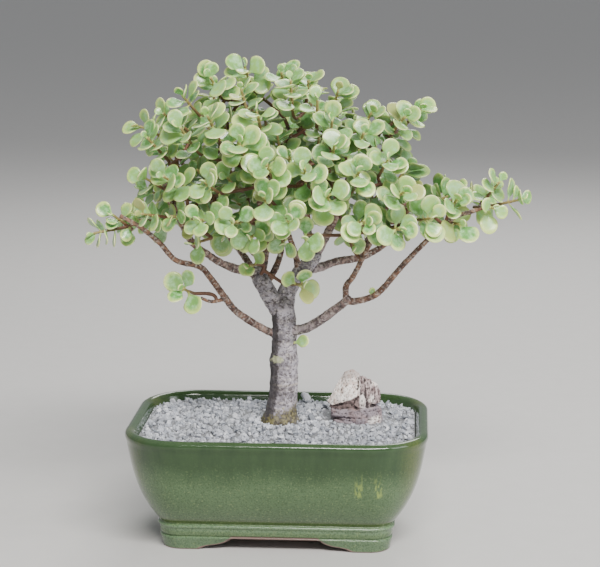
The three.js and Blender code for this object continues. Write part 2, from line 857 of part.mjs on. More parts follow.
function isInLeaf(blade, point, clear) {
  const offset = point.clone().sub(blade.foot);
  const share = offset.dot(blade.along) / blade.length;
  if (share < -0.05 || share > 1 + clear / blade.length) return false;
  const side = offset.dot(blade.side);
  const half = leafHalfWidth(Math.min(Math.max(share, 0.2), 0.97), blade.length);
  if (Math.abs(side) > half + clear) return false;
  const edge = leaf.cup * Math.min(1, side / (half + 0.1)) ** 2;
  return Math.abs(offset.dot(blade.up) - edge) < leaf.thick / 2 + clear;
}

function leavesMeet(a, b) {
  if (a.middle.distanceTo(b.middle) > (a.length + b.length) / 2 + nearby.betweenLeaves) return false;
  return (
    a.samples.some((p) => isInLeaf(b, p, leafRoom.toLeaf)) ||
    b.samples.some((p) => isInLeaf(a, p, leafRoom.toLeaf))
  );
}

function isLeafClear(blade, leaves, segments) {
  if (leaves.some((other) => leavesMeet(blade, other))) return false;
  return segments.every((segment) => {
    if (segment.start.distanceTo(blade.middle) > blade.length + nearby.pastLeaf) return true;
    const room = segment.radius + leafRoom.toStem;
    return blade.samples.every((p) => distanceTo(segment, p) > room);
  });
}

// One leaf of a pair, standing off its shoot by an angle
function leafOn(goal, depth, turn, lean, length) {
  const axis = goal.axis;
  const away = Math.abs(axis.x) < 0.7 ? vec(1, 0, 0) : vec(0, 1, 0);
  const across = away.cross(axis).normalize();
  const other = axis.clone().cross(across);
  const out = across
    .clone()
    .multiplyScalar(Math.cos(turn))
    .addScaledVector(other, Math.sin(turn));
  const along = out
    .clone()
    .multiplyScalar(Math.sin(lean))
    .addScaledVector(axis, Math.cos(lean));
  const up = axis
    .clone()
    .multiplyScalar(Math.sin(lean))
    .addScaledVector(out, -Math.cos(lean));
  const foot = goal.tip
    .clone()
    .addScaledVector(axis, -depth)
    .addScaledVector(along, -leaf.sunk);
  const blade = { foot, along, up, side: up.clone().cross(along), length };
  blade.middle = leafPoint(blade, length / 2, 0, 0);
  blade.samples = leafSamples(blade);
  return blade;
}

// The leaves that find room on one shoot when its first pair is turned by an angle
function leavesWithTurn(goal, pairs, turn, seed, leaves, segments) {
  const kept = [];
  pairs.forEach(([depth, size, spread], pair) => {
    for (const half of [0, 1]) {
      const own = seed + pair * 2 + half;
      const round = turn + (pair * Math.PI) / 2 + half * Math.PI + leafDrift.turn * (draw(own) - 0.5);
      const grown = leafDrift.leastSize + leafDrift.sizeSpread * draw(own + 0.5);
      const length = goal.leafLength * size * grown;
      const lean = spread + leafDrift.lean * (draw(own + 0.25) - 0.5);
      for (const [tilt, scale] of leafTries) {
        const blade = leafOn(goal, depth, round, radians(lean + tilt), length * scale);
        if (!isLeafClear(blade, [...leaves, ...kept], segments)) continue;
        kept.push(blade);
        break;
      }
    }
  });
  return kept;
}

// The leaves that find room on each stem
function growLeaves({ obstacles, leaves }, stems, pairs, firstSeed) {
  stems.forEach(({ goal, points, spray }, i) => {
    const seed = firstSeed + leafSeeds.step * i;
    const near = leaves.filter((other) => other.middle.distanceTo(goal.tip) < nearby.leaves);
    const others = obstacles.filter(
      (segment) =>
        !segment.end.equals(points.at(-1)) && segment.start.distanceTo(goal.tip) < nearby.stems,
    );
    let best = [];
    for (let k = 0; k < leafRoom.turns; k++) {
      const turn = Math.PI * draw(seed) + k * leafRoom.turnStep;
      const kept = leavesWithTurn(goal, pairs, turn, seed, near, others);
      if (kept.length > best.length) best = kept;
    }
    leaves.push(...best);
    spray.leaves.push(...best);
  });
}

// A blade with its edges raised over a keel, thin at its edge and thickest over the keel
function leafSolid(blade) {
  const halfWidth = (leaf.widthShare * blade.length) / 2;
  const [foot, ...right] = leafEdge;
  const left = right.map(([share, side]) => [share, -side]);
  const outline = [foot, ...left, ...[...right].reverse()];
  const edge = outline.map(([share, side]) =>
    leafPoint(blade, share * blade.length, side * halfWidth, leaf.cup * side * side));
  const keel = leafPoint(blade, blade.length * leaf.thickest, 0, -leaf.thick / 2);
  const top = [[0, 1, 6], [1, 2, 6], [2, 5, 6], [2, 3, 5], [3, 4, 5]];
  const bottom = edge.map((_, i) => [(i + 1) % edge.length, i, edge.length]);
  return solidOf(meshOf([...edge, keel], [...top, ...bottom]));
}

function makeSpray({ stems, leaves }) {
  const stemSolids = stems.map(({ points, radii, leave }) =>
    solidOf(tube(points, radii, stem.sides, leave)));
  return geometryOf(joined([...stemSolids, ...leaves.map(leafSolid)]));
}

// Assembly

function material(colour, roughness) {
  return new THREE.MeshStandardMaterial({ color: colour, roughness, metalness: 0 });
}

function part(name, geometry, finish) {
  const mesh = new THREE.Mesh(geometry, finish);
  mesh.name = name;
  return mesh;
}

const bonsai = new THREE.Group();
bonsai.name = "elephant_bush_bonsai";
bonsai.position.set(potPlace.x, potPlace.y, 0);

bonsai.add(part("pot", makePot(), material(colours.glaze, 0.2)));
for (const [side, name] of [[-1, "drain_screen_left"], [1, "drain_screen_right"]]) {
  const net = part(name, makeScreen(), material(colours.screen, 0.6));
  net.position.set(side * pot.drainHole.x, 0, pot.floorTop + gap);
  bonsai.add(net);
}
bonsai.add(part("soil", makeSoil(), material(colours.soil, 0.95)));
bonsai.add(part("gravel", makeGravel(), material(colours.gravel, 0.9)));
const stone = part("accent_stone", makeStone(), material(colours.rock, 0.9));
stone.position.set(rockPlace.x, rockPlace.y, rockPlace.z);
bonsai.add(stone);
bonsai.add(part("trunk_and_limbs", makeWood(), material(colours.bark, 0.85)));

const seen = frontShoots.map(([x, y, z, leafLength, axis]) =>
  shootAt(vec(x, y, z), leafLength, frontShootLength, axis && vec(...axis).normalize()));
const outer = [...seen, ...shellShoots(backShoots, seen)];
const inner = shellShoots(innerShoots, outer);
const growth = bareWood();
const outerStems = growStems(growth, outer);
const innerStems = growStems(growth, inner);
growLeaves(growth, outerStems, outerPairs, leafSeeds.outer);
growLeaves(growth, innerStems, innerPairs, leafSeeds.inner);
growth.sprays.forEach((spray, i) => {
  const name = `spray_${String(i + 1).padStart(2, "0")}`;
  bonsai.add(part(name, makeSpray(spray), material(colours.leaf, 0.4)));
});

export default bonsai;
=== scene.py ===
"""A variegated elephant bush bonsai in a green glazed pot: its looks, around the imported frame.

Lengths are millimetres until a mesh is made, in the pot's own frame: +X to the right, +Y away, feet on
Z = 0. The levels that a paint reads are in metres, and colours are linear.
"""
import math
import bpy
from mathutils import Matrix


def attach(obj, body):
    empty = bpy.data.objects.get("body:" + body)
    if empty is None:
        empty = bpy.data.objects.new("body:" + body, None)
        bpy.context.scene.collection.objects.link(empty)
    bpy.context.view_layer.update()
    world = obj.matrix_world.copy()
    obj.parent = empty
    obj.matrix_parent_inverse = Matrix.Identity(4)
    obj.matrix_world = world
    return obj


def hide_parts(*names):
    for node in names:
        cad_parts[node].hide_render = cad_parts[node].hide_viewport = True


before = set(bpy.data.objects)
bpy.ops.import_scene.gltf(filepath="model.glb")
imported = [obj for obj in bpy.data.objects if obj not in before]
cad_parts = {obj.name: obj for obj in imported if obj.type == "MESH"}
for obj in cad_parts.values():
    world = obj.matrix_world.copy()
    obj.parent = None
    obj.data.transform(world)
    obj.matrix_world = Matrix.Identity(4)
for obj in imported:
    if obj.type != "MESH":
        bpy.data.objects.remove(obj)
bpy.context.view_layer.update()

from types import SimpleNamespace

import bmesh
import bpy
import numpy as np
from mathutils import Vector, noise

MM = 0.001
POT_PLACE = np.array((-22, -0.5, 0), float)  # where the pot stands in the frame

# Camera, light and floor

CAMERA = {"place": (90.9, -1176.8, 395.9), "target": (13.92, 0, 173.93), "lens": 106.0, "sensor": 36.0}
# Each light's name, place, width and height in metres, power in watts and colour
LIGHTS = (
    ("key", (0.5, -1.4, 1.6), (1.5, 0.35), 68, (1, 0.975, 0.94)),
    ("fill", (1.5, -0.7, 0.8), (1.0, 1.0), 12, (0.95, 0.97, 1)),
    ("rim", (0.2, 1.2, 1.3), (0.9, 0.9), 16, (1, 0.99, 0.97)),
)
SKY = {"Color": (0.80, 0.82, 0.85, 1), "Strength": 0.46}
FLOOR_HALF = 40.0
FLOOR_NOISE = (60, 3)
FLOOR_TONES = ((0.56, 0.55, 0.535), (0.60, 0.59, 0.575))


def in_frame(points):
    """Millimetres in the pot's frame as metres in the row frame."""
    return (np.asarray(points, float) + POT_PLACE) * MM


def placed(name, data):
    thing = bpy.data.objects.new(name, data)
    bpy.context.scene.collection.objects.link(thing)
    return thing


def aim(thing, place):
    thing.location = place
    way = Vector(in_frame(CAMERA["target"])) - thing.location
    thing.rotation_euler = way.to_track_quat("-Z", "Y").to_euler()


def make_camera():
    data = bpy.data.cameras.new("camera")
    data.lens = CAMERA["lens"]
    data.sensor_width = CAMERA["sensor"]
    camera = placed("camera", data)
    aim(camera, in_frame(CAMERA["place"]))
    bpy.context.scene.camera = camera


def make_lights():
    for name, place, size, power, colour in LIGHTS:
        data = bpy.data.lights.new(name, "AREA")
        data.shape = "RECTANGLE"
        data.size, data.size_y = size
        data.energy = power
        data.color = colour
        aim(placed(name, data), place)
    world = bpy.data.worlds.new("studio")
    world.use_nodes = True
    for key, value in SKY.items():
        world.node_tree.nodes["Background"].inputs[key].default_value = value
    bpy.context.scene.world = world


def make_floor():
    paint = Paint("pale_floor", {"Roughness": 0.75})
    paint.colour(paint.mix(paint.noise(*FLOOR_NOISE), *FLOOR_TONES))
    mesh = bpy.data.meshes.new("floor")
    corners = [(-1, -1), (1, -1), (1, 1), (-1, 1)]
    mesh.from_pydata([(x * FLOOR_HALF, y * FLOOR_HALF, 0) for x, y in corners], [], [(0, 1, 2, 3)])
    mesh.materials.append(paint.material)
    placed("floor", mesh)


# Materials


class Paint:
    """A procedural material: short calls that add nodes and give the socket that they end in."""

    def __init__(self, name, values):
        self.material = bpy.data.materials.new(name)
        self.material.use_nodes = True
        self.tree = self.material.node_tree
        self.shader = self.tree.nodes["Principled BSDF"]
        self.place = self.add("TexCoord").outputs["Object"]
        for key, value in values.items():
            self.put(self.shader.inputs[key], value)

    def add(self, kind, inputs=(), **settings):
        node = self.tree.nodes.new("ShaderNode" + kind)
        for key, value in settings.items():
            setattr(node, key, value)
        for key, value in dict(inputs).items():
            self.put(node.inputs[key], value)
        return node

    def put(self, socket, value):
        if isinstance(value, bpy.types.NodeSocket):
            self.tree.links.new(value, socket)
        elif socket.type == "RGBA":
            socket.default_value = (*value, 1)
        else:
            socket.default_value = value

    def colour(self, value):
        self.put(self.shader.inputs["Base Color"], value)

    def rough(self, value):
        self.put(self.shader.inputs["Roughness"], value)

    def bump(self, height, distance, strength=1.0):
        bump = self.add("Bump", {"Height": height, "Distance": distance, "Strength": strength})
        self.put(self.shader.inputs["Normal"], bump.outputs["Normal"])

    def noise(self, scale, detail=4, roughness=0.55, turn=(0, 0, 0)):
        """A noise as fine as its scale, or as fine each way as the scale's three numbers."""
        place = self.place
        if isinstance(scale, tuple):
            mapping = self.add("Mapping", {"Vector": place, "Rotation": turn, "Scale": scale})
            place = mapping.outputs["Vector"]
            scale = 1
        inputs = {"Vector": place, "Scale": scale, "Detail": detail, "Roughness": roughness}
        return self.add("TexNoise", inputs).outputs["Fac"]

    def noises(self, table):
        return {name: self.noise(*values) for name, values in table.items()}

    def math(self, operation, *values, clamp=False):
        return self.add("Math", dict(enumerate(values)), operation=operation, use_clamp=clamp).outputs[0]

    def times(self, result, *values):
        for value in values:
            result = self.math("MULTIPLY", result, value)
        return result

    def total(self, result, *terms):
        """A sum; a pair stands for a value times a weight."""
        for term in terms:
            weighed = isinstance(term, tuple)
            result = self.math("MULTIPLY_ADD", *term, result) if weighed else self.math("ADD", result, term)
        return result

    def between(self, value, low, high):
        """0 below low, 1 above high, and a smooth step from one to the other."""
        inputs = {"Value": value, "From Min": low, "From Max": high}
        return self.add("MapRange", inputs, interpolation_type="SMOOTHSTEP").outputs["Result"]

    def mix(self, share, low, high, blend="MIX"):
        return self.add("Mix", {0: share, 6: low, 7: high}, data_type="RGBA", blend_type=blend).outputs[2]

    def level(self, sources, name, *ends):
        """A named source as it is, or stepped between two of its values."""
        return self.between(sources[name], *ends) if ends else sources[name]

    def cover(self, sources, share, *where):
        return self.times(share, *(self.level(sources, *spot) for spot in where))

    def lay(self, layers, sources):
        """Colours over each other: each layer has its share, its colour or a blend of two, and its place."""
        tone = None
        for share, colour, *where in layers:
            if isinstance(colour[0], tuple):
                blend, low, high = colour
                colour = self.mix(self.level(sources, *blend), low, high)
            tone = self.mix(self.cover(sources, share, *where), tone, colour) if where else colour
        return tone

    def axes(self):
        """The x, y and z of the object coordinates, in metres."""
        return dict(zip("xyz", self.add("SeparateXYZ", {"Vector": self.place}).outputs))

    def data(self, attribute, *names):
        """The parts of a colour attribute by name; the last of four is its alpha."""
        node = self.add("Attribute", attribute_name=attribute)
        parts = self.add("SeparateColor", {"Color": node.outputs["Color"]}).outputs
        return dict(zip(names, (*parts, node.outputs["Alpha"])))


# Mesh helpers


def mesh_of(name, points, faces):
    """A mesh from points in millimetres in the pot's frame."""
    mesh = bpy.data.meshes.new(name)
    mesh.from_pydata(in_frame(points).tolist(), [], [list(map(int, face)) for face in faces])
    return mesh


def new_object(name, points, faces, *materials, smooth=True):
    mesh = mesh_of(name, points, faces)
    mesh.polygons.foreach_set("use_smooth", [smooth] * len(mesh.polygons))
    for material in materials:
        mesh.materials.append(material)
    return placed(name, mesh)


def hull(points):
    """The closed skin round some points."""
    mesh = bmesh.new()
    for point in points:
        mesh.verts.new(point)
    bmesh.ops.convex_hull(mesh, input=mesh.verts)
    loose = [v for v in mesh.verts if not v.link_faces]
    bmesh.ops.delete(mesh, geom=loose, context="VERTS")
    return mesh


def from_bmesh(name, source):
    mesh = bpy.data.meshes.new(name)
    source.to_mesh(mesh)
    source.free()
    return mesh


def paint_points(thing, name, *columns):
    """Four numbers for each point of a mesh, which its material reads."""
    attribute = thing.data.attributes.new(name, "FLOAT_COLOR", "POINT")
    values = columns[0] if len(columns) == 1 else np.column_stack(columns)
    attribute.data.foreach_set("color", np.asarray(values, np.float32).ravel())


def ring_faces(rings, count, closed=False):
    """Quads between rings of equal count, bottom first, anticlockwise seen from the end."""
    i = np.arange(count)
    j = (i + 1) % count
    quads = []
    for k in range(rings if closed else rings - 1):
        low = k * count
        high = (k + 1) % rings * count
        quads.append(np.stack((low + i, low + j, high + j, high + i), 1))
    return np.concatenate(quads)


def loft(rings):
    """Points and faces of a closed solid through rings of equal count, capped at both ends."""
    rings = np.asarray(rings, float)
    number, count = rings.shape[:2]
    points = np.vstack((rings.reshape(-1, 3), rings[0].mean(0), rings[-1].mean(0)))
    faces = ring_faces(number, count).tolist()
    bottom = number * count
    last = bottom - count
    for i in range(count):
        j = (i + 1) % count
        faces += [(bottom, j, i), (bottom + 1, last + i, last + j)]
    return points, faces


def joined(pieces):
    """The points, faces and paint of several pieces as one's, and the number of each face's piece."""
    points, faces, paint, origin = [], [], [], []
    start = 0
    for number, (piece_points, piece_faces, piece_paint) in enumerate(pieces):
        points.append(piece_points)
        paint.append(piece_paint)
        faces += [[index + start for index in face] for face in piece_faces]
        origin += [number] * len(piece_faces)
        start += len(piece_points)
    return np.vstack(points), faces, np.vstack(paint), np.array(origin)


def joined_mesh(name, meshes):
    """One object of several meshes, which may overlap."""
    whole = bmesh.new()
    for mesh in meshes:
        whole.from_mesh(mesh)
        bpy.data.meshes.remove(mesh)
    return placed(name, from_bmesh(name, whole))


def settle(thing):
    """Makes the modifiers' result the thing's own mesh."""
    evaluated = thing.evaluated_get(bpy.context.evaluated_depsgraph_get())
    mesh = bpy.data.meshes.new_from_object(evaluated)
    old = thing.data
    thing.modifiers.clear()
    thing.data = mesh
    mesh.name = thing.name
    bpy.data.meshes.remove(old)


def remesh(thing, voxel, smoothing):
    """One even skin over all that overlaps, with its creases eased."""
    skin = thing.modifiers.new("skin", "REMESH")
    skin.mode = "VOXEL"
    skin.voxel_size = voxel * MM
    skin.use_smooth_shade = True
    ease = thing.modifiers.new("ease", "SMOOTH")
    ease.factor = 0.5
    ease.iterations = smoothing
    settle(thing)


def points_of(thing):
    """A mesh's points in millimetres in the pot's frame, and its normals."""
    count = len(thing.data.vertices)
    places, normals = np.zeros(3 * count), np.zeros(3 * count)
    thing.data.vertices.foreach_get("co", places)
    thing.data.vertex_normals.foreach_get("vector", normals)
    return places.reshape(-1, 3) / MM - POT_PLACE, normals.reshape(-1, 3)


def move_points(thing, points):
    thing.data.vertices.foreach_set("co", in_frame(points).ravel())
    thing.data.update()


def spread(values, ends, times):
    """Values averaged with their neighbours' over a mesh's edges, several times."""
    a, b = ends
    count = np.bincount(a, minlength=len(values)) + np.bincount(b, minlength=len(values))
    for _ in range(times):
        total = np.bincount(a, values[b], len(values)) + np.bincount(b, values[a], len(values))
        values = 0.5 * values + 0.5 * total / np.maximum(count, 1)
    return values


SOFTENING = 4  # rounds that ease the skin which creases are measured from


def hollowness(thing, times=3):
    """How far each point lies in a crease of its mesh, in millimetres: under zero on a ridge."""
    points, normals = points_of(thing)
    ends = np.zeros(2 * len(thing.data.edges), np.int32)
    thing.data.edges.foreach_get("vertices", ends)
    ends = ends.reshape(-1, 2).T
    soft = np.column_stack([spread(axis, ends, SOFTENING) for axis in points.T])
    return spread(np.einsum("pk,pk->p", soft - points, normals), ends, times)


FRACTAL = (0.9, 2.1)  # how fast the finer octaves fade, and how much finer each is


def roughness_at(points, stretch, size, octaves, offset):
    """Fractal noise about zero at each point, with bumps of a size in millimetres."""
    places = points * stretch / size + offset
    return np.array([noise.fractal(Vector(place), *FRACTAL, octaves) for place in places])


def bell(distance):
    """1 at no distance, and little past 1."""
    return np.exp(-(distance**2))


def finish(piece, slot, *nodes):
    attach(piece, "root")
    if nodes:
        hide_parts(*nodes)


# Pot

POT_HEIGHT = 80
RIM = {"half": (102, 73), "corner": 40}
FOOT = {"half": (78.5, 49.5), "corner": 14}
WALL = 8
UNDERSIDE = 9.5
FLOOR_TOP = 16.5
BAND_TOP = 18.4
DRAIN_HOLE = {"radius": 7, "x": 38, "sides": 48}
FULL_STEP = RIM["half"][0] - FOOT["half"][0]
RING_COUNTS = {"corner": 14, "side": (74, 42)}
# Cloud-shaped end of a foot: distance from the pot's corner, height
FOOT_PROFILE = ((0, 0), (26, 0), (28, 1.5), (32, 2.5), (40, 3.7), (45, 5.4), (48.5, 8.4), (50, 9.5))
FOOT_ON_SHORT_SIDE = 0.62
FOOT_SOFTENING = {"step": 0.25, "reach": 80, "half": 8, "width": 4}
FOOT_WALL = {"half": 9, "corner": 6}
FOOT_ROWS = 7
FOOT_EDGE = 0.9  # radius of the feet's lower edges
FOOT_EDGE_TURNS = (-80, -45, 0, 45, 80)
FOOT_EDGE_MIDDLE = -4.6  # outward step midway between a foot's inner and outer face
FOOT_TAPER = -1.3  # outward step at the feet's lower edges
GROOVE_FOOT = 8.4
LEAST_STEP = 0.02
LEAST_EDGE = 0.03
UNDER_FLOOR = 0.25  # the arches end this far under the floor
FOOT_INSIDE_SHARES = (0.25, 0.6, 1)
HOLLOW_SHARES = (0.3, 0.6, 0.85)
# Height and outward step of the band that runs round the feet
BAND_PROFILE = (
    (GROOVE_FOOT, 0.3), (8.9, 0.1), (9.2, -0.5), (9.45, -0.8), (9.8, -0.6), (10.2, -0.1), (10.8, 0.15),
    (13, 0.5), (15.1, 0.8), (15.5, 1.0), (15.8, 1.5), (16.2, 1.85), (16.8, 1.9), (17.4, 1.75),
    (17.9, 1.1), (18.2, 0.5), (18.6, 0.3),
)
# The belly's rings, and how its outward step grows: a straight share, a curved one and its power
BELLY_HEIGHTS = (19.4, 74, 30)
BELLY_CURVE = (0.42, 0.58, 3.5)
# Height and outward step, from the full one, over the rolled lip and down to the gravel
LIP_PROFILE = (
    (75.5, -0.35), (77, 0.05), (78.2, 0), (79.1, -0.35), (79.9, -1.0), (80.5, -1.9), (80.9, -2.9), (81, -4),
    (80.7, -5.1), (80.1, -5.9), (79.2, -6.7), (78, -7.4), (76.5, -7.9),
)
INSIDE_HEIGHTS = (75, 70, 62, 52, 40, 30, 24, 20, 18, 17, FLOOR_TOP)
FLOOR_ROUNDING = {"height": 19, "step": 2.5, "shares": (0.8, 0.5, 0.25)}


def outline_at(step):
    """Half length, half width and corner radius where the pot stands out from its foot by a step."""
    share = max(step / FULL_STEP, 0)
    corner = (1 - share) * FOOT["corner"] + share * RIM["corner"]
    return FOOT["half"][0] + step, FOOT["half"][1] + step, corner


def rounded_ring(half_x, half_y, corner, z, scale=1):
    """A rounded rectangle, anticlockwise from above, from the end of its right side."""
    half_x, half_y, corner = half_x * scale, half_y * scale, corner * scale
    points = []
    for quarter, (sign_x, sign_y) in enumerate(((1, 1), (-1, 1), (-1, -1), (1, -1))):
        middle = np.array((sign_x * (half_x - corner), sign_y * (half_y - corner)))
        for i in range(RING_COUNTS["corner"] + 1):
            angle = (quarter + i / RING_COUNTS["corner"]) * math.pi / 2
            points.append(middle + corner * np.array((math.cos(angle), math.sin(angle))))
        start = points[-1]
        end = start * ((-1, 1) if quarter % 2 == 0 else (1, -1))
        count = RING_COUNTS["side"][quarter % 2]
        points += [start + (end - start) * i / count for i in range(1, count)]
    return np.column_stack((points, np.full(len(points), float(z))))


def ring_at(step, z):
    return rounded_ring(*outline_at(step), z)


def belly_step(z):
    down = (POT_HEIGHT - z) / (POT_HEIGHT - BAND_TOP)
    straight, curved, power = BELLY_CURVE
    return FULL_STEP * (1 - straight * down - curved * down**power)


def inner_step(z):
    return belly_step(z) - WALL


def foot_height(ring):
    """Height of the lower edge of the band at each point of a ring: 0 on the feet."""
    soft = FOOT_SOFTENING
    steps = np.arange(0, soft["reach"], soft["step"])
    heights = np.interp(steps, *zip(*FOOT_PROFILE))
    width = bell(np.arange(-soft["half"], soft["half"] + 1) / soft["width"])
    heights = np.convolve(np.pad(heights, soft["half"], mode="edge"), width / width.sum(), mode="valid")
    along = np.interp(FOOT["half"][0] - np.abs(ring[:, 0]), steps, heights)
    aside = np.interp((FOOT["half"][1] - np.abs(ring[:, 1])) / FOOT_ON_SHORT_SIDE, steps, heights)
    return np.minimum(np.maximum(along, aside), UNDERSIDE - UNDER_FLOOR)


def foot_rows():
    """The feet and their arches, from the hollow under the floor round to the band's groove."""
    half_x, half_y = FOOT["half"]
    inner = (half_x - FOOT_WALL["half"], half_y - FOOT_WALL["half"], FOOT["corner"] - FOOT_WALL["corner"])
    inside = rounded_ring(*inner, UNDERSIDE)
    rows = [rounded_ring(*inner, UNDERSIDE, share) for share in HOLLOW_SHARES] + [inside]
    low = foot_height(inside)
    for share in FOOT_INSIDE_SHARES:
        row = inside.copy()
        row[:, 2] = UNDERSIDE + (low + FOOT_EDGE - UNDERSIDE) * share
        row[:, 2] = np.minimum(row[:, 2], UNDERSIDE - 2 * LEAST_STEP * share)
        rows.append(row)
    low = foot_height(ring_at(0, 0))
    reach = GROOVE_FOOT - low
    edge = np.clip(reach / 2, LEAST_EDGE, FOOT_EDGE)
    middle = ring_at(FOOT_EDGE_MIDDLE, 0)
    for angle in FOOT_EDGE_TURNS:
        turn = math.radians(angle)
        row = middle.copy()
        row[:, 2] = low
        if angle:
            base = rounded_ring(*inner, 0) if angle < 0 else ring_at(FOOT_TAPER, 0)
            way = (base - middle) / np.linalg.norm((base - middle)[:, :2], axis=1)[:, None]
            row = base - way * (edge * (1 - abs(math.sin(turn))))[:, None]
            row[:, 2] = low + edge * (1 - abs(math.cos(turn)))
        rows.append(row)
    for share in np.arange(FOOT_ROWS) / (FOOT_ROWS - 1):
        row = ring_at(FOOT_TAPER + (BAND_PROFILE[0][1] - FOOT_TAPER) * share, 0)
        row[:, 2] = low + edge + np.maximum(reach - edge, LEAST_STEP) * share
        rows.append(row)
    return rows


def pot_rings():
    rows = foot_rows()
    rows += [ring_at(step, z) for z, step in BAND_PROFILE]
    rows += [ring_at(belly_step(z), z) for z in np.linspace(*BELLY_HEIGHTS)]
    rows += [ring_at(FULL_STEP + step, z) for z, step in LIP_PROFILE]
    low = FLOOR_ROUNDING["height"]
    rows += [ring_at(inner_step(max(z, low)) - max(0, low - z), z) for z in INSIDE_HEIGHTS]
    floor = outline_at(inner_step(low) - FLOOR_ROUNDING["step"])
    rows += [rounded_ring(*floor, FLOOR_TOP, share) for share in FLOOR_ROUNDING["shares"]]
    return rows


def cut_drain_holes(pot):
    """Two round holes through the floor."""
    radius = DRAIN_HOLE["radius"] * MM
    for side in (-1, 1):
        mesh = bmesh.new()
        bmesh.ops.create_cone(
            mesh, cap_ends=True, segments=DRAIN_HOLE["sides"], radius1=radius, radius2=radius,
            depth=4 * UNDERSIDE * MM,
        )
        bmesh.ops.translate(mesh, vec=in_frame((side * DRAIN_HOLE["x"], 0, UNDERSIDE)), verts=mesh.verts)
        hole = placed("hole", from_bmesh("hole", mesh))
        cut = pot.modifiers.new("hole", "BOOLEAN")
        cut.operation = "DIFFERENCE"
        cut.solver = "MANIFOLD"
        cut.object = hole
        settle(pot)
        bpy.data.objects.remove(hole)


# Noises: how fine each is, or how fine each way, its detail and its roughness
GLAZE_NOISES = {
    "fine": (1500, 3, 0.7), "speck": (700, 2, 0.6), "cloud": (28, 4, 0.55), "dark": (900, 3, 0.65),
    "streak": ((170, 170, 16), 4, 0.6), "ragged": ((900, 900, 330), 3, 0.7), "runs": ((900, 900, 9), 2, 0.5),
    "lumps": (90, 3),
}
# Layers of a paint, lowest first: share, colour or what blends two colours, and the levels between which
# each of its places fades in
GLAZE_LAYERS = (
    # Mottled body, with dark runs under the rim and an olive line over the band
    (1, (("cloud",), (0.070, 0.128, 0.052), (0.105, 0.175, 0.078))),
    (1, (("streak",), (0.010, 0.034, 0.008), (0.043, 0.088, 0.028)), ("uneven", 0.047, 0.066)),
    (0.65, (0.075, 0.100, 0.022), ("from_line", 0.0035, 0.0005)),
    # Paler band and feet
    (1, (("cloud",), (0.112, 0.188, 0.090), (0.162, 0.248, 0.140)), ("z", 0.0186, 0.0176)),
    (0.6, (0.085, 0.135, 0.050), ("z", 0.0142, 0.0122), ("z", 0.0088, 0.0100)),
    (0.45, (0.070, 0.118, 0.060), ("z", 0.0094, 0.0080)),
    # Thin on the rim, thin and brownish on the corners
    (0.6, (0.062, 0.104, 0.048), ("z", 0.0775, 0.0806)),
    (
        0.6, (0.118, 0.142, 0.028), ("lengthways", 0.080, 0.096), ("crossways", 0.026, 0.046),
        ("cloud", 0.35, 0.6), ("z", 0.018, 0.026),
    ),
    # Pale and dark specks, the marks, and bare clay along the feet's edges
    (0.5, (0.200, 0.270, 0.110), ("speck", 0.55, 0.68), ("z", 0.072, 0.045)),
    (0.5, (0.022, 0.055, 0.018), ("dark", 0.52, 0.40)),
    (1, (0.30, 0.40, 0.08), ("marks",), ("y", -0.03, -0.05)),
    (1, (0.215, 0.140, 0.120), ("worn",)),
)
GLAZE_LINE = 0.0205
GLAZE_WAVE = 0.022  # how far the dark runs wander
CLAY_EDGE = (0.75, 0.95)
CLAY_REACH = 2.4
GLAZE_ROUGHNESS = (0.10, 0.50)  # of the glaze, and more on the clay
# Two pale marks on the front: their places, half width and half height
GLAZE_MARKS = ((56.8, 45.5), (69.6, 45.5))
MARK_HALF = (1.5, 3.4)
MARK_RAGGED = 1.8
# A ragged blob, and thin runs over it
MARK_PARTS = (
    (0.8, ("reach", 1.6, 0.9)),
    (0.6, ("upward", -1.2, 0.2), ("upward", 5.5, 0.5), ("aside", 2.2, 1.2), ("runs", 0.44, 0.60)),
)


def glaze_marks(paint, levels):
    shown = 0
    for mark_x, mark_z in GLAZE_MARKS:
        centre = in_frame((mark_x, 0, mark_z))
        aside = paint.math("DIVIDE", paint.total(levels["x"], -centre[0]), MARK_HALF[0] * MM)
        upward = paint.math("DIVIDE", paint.total(levels["z"], -centre[2]), MARK_HALF[1] * MM)
        squares = [paint.math("POWER", value, 2) for value in (aside, upward)]
        mark = {
            "reach": paint.total(*squares, (levels["ragged"], MARK_RAGGED)),
            "aside": paint.math("ABSOLUTE", aside), "upward": upward, "runs": levels["runs"],
        }
        for part in MARK_PARTS:
            shown = paint.math("MAXIMUM", shown, paint.cover(mark, *part))
    return shown


def glaze_paint():
    paint = Paint("green_glaze", {"Coat Weight": 0.3, "Coat Roughness": 0.06})
    levels = paint.axes() | paint.noises(GLAZE_NOISES) | paint.data("glaze", "lower")
    levels["uneven"] = paint.total(levels["z"], -GLAZE_WAVE / 2, (levels["cloud"], GLAZE_WAVE))
    levels["from_line"] = paint.math("ABSOLUTE", paint.total(levels["z"], -GLAZE_LINE))
    levels["lengthways"] = paint.math("ABSOLUTE", paint.total(levels["x"], -POT_PLACE[0] * MM))
    levels["crossways"] = paint.math("ABSOLUTE", levels["y"])
    levels["marks"] = glaze_marks(paint, levels)
    worn = paint.between(paint.total(levels["lower"], (levels["fine"], 0.3)), *CLAY_EDGE)
    levels["worn"] = worn
    paint.colour(paint.lay(GLAZE_LAYERS, levels))
    paint.rough(paint.total(GLAZE_ROUGHNESS[0], (worn, GLAZE_ROUGHNESS[1])))
    paint.bump(paint.total(levels["lumps"], (levels["fine"], 0.12)), distance=0.0006, strength=0.35)
    return paint.material


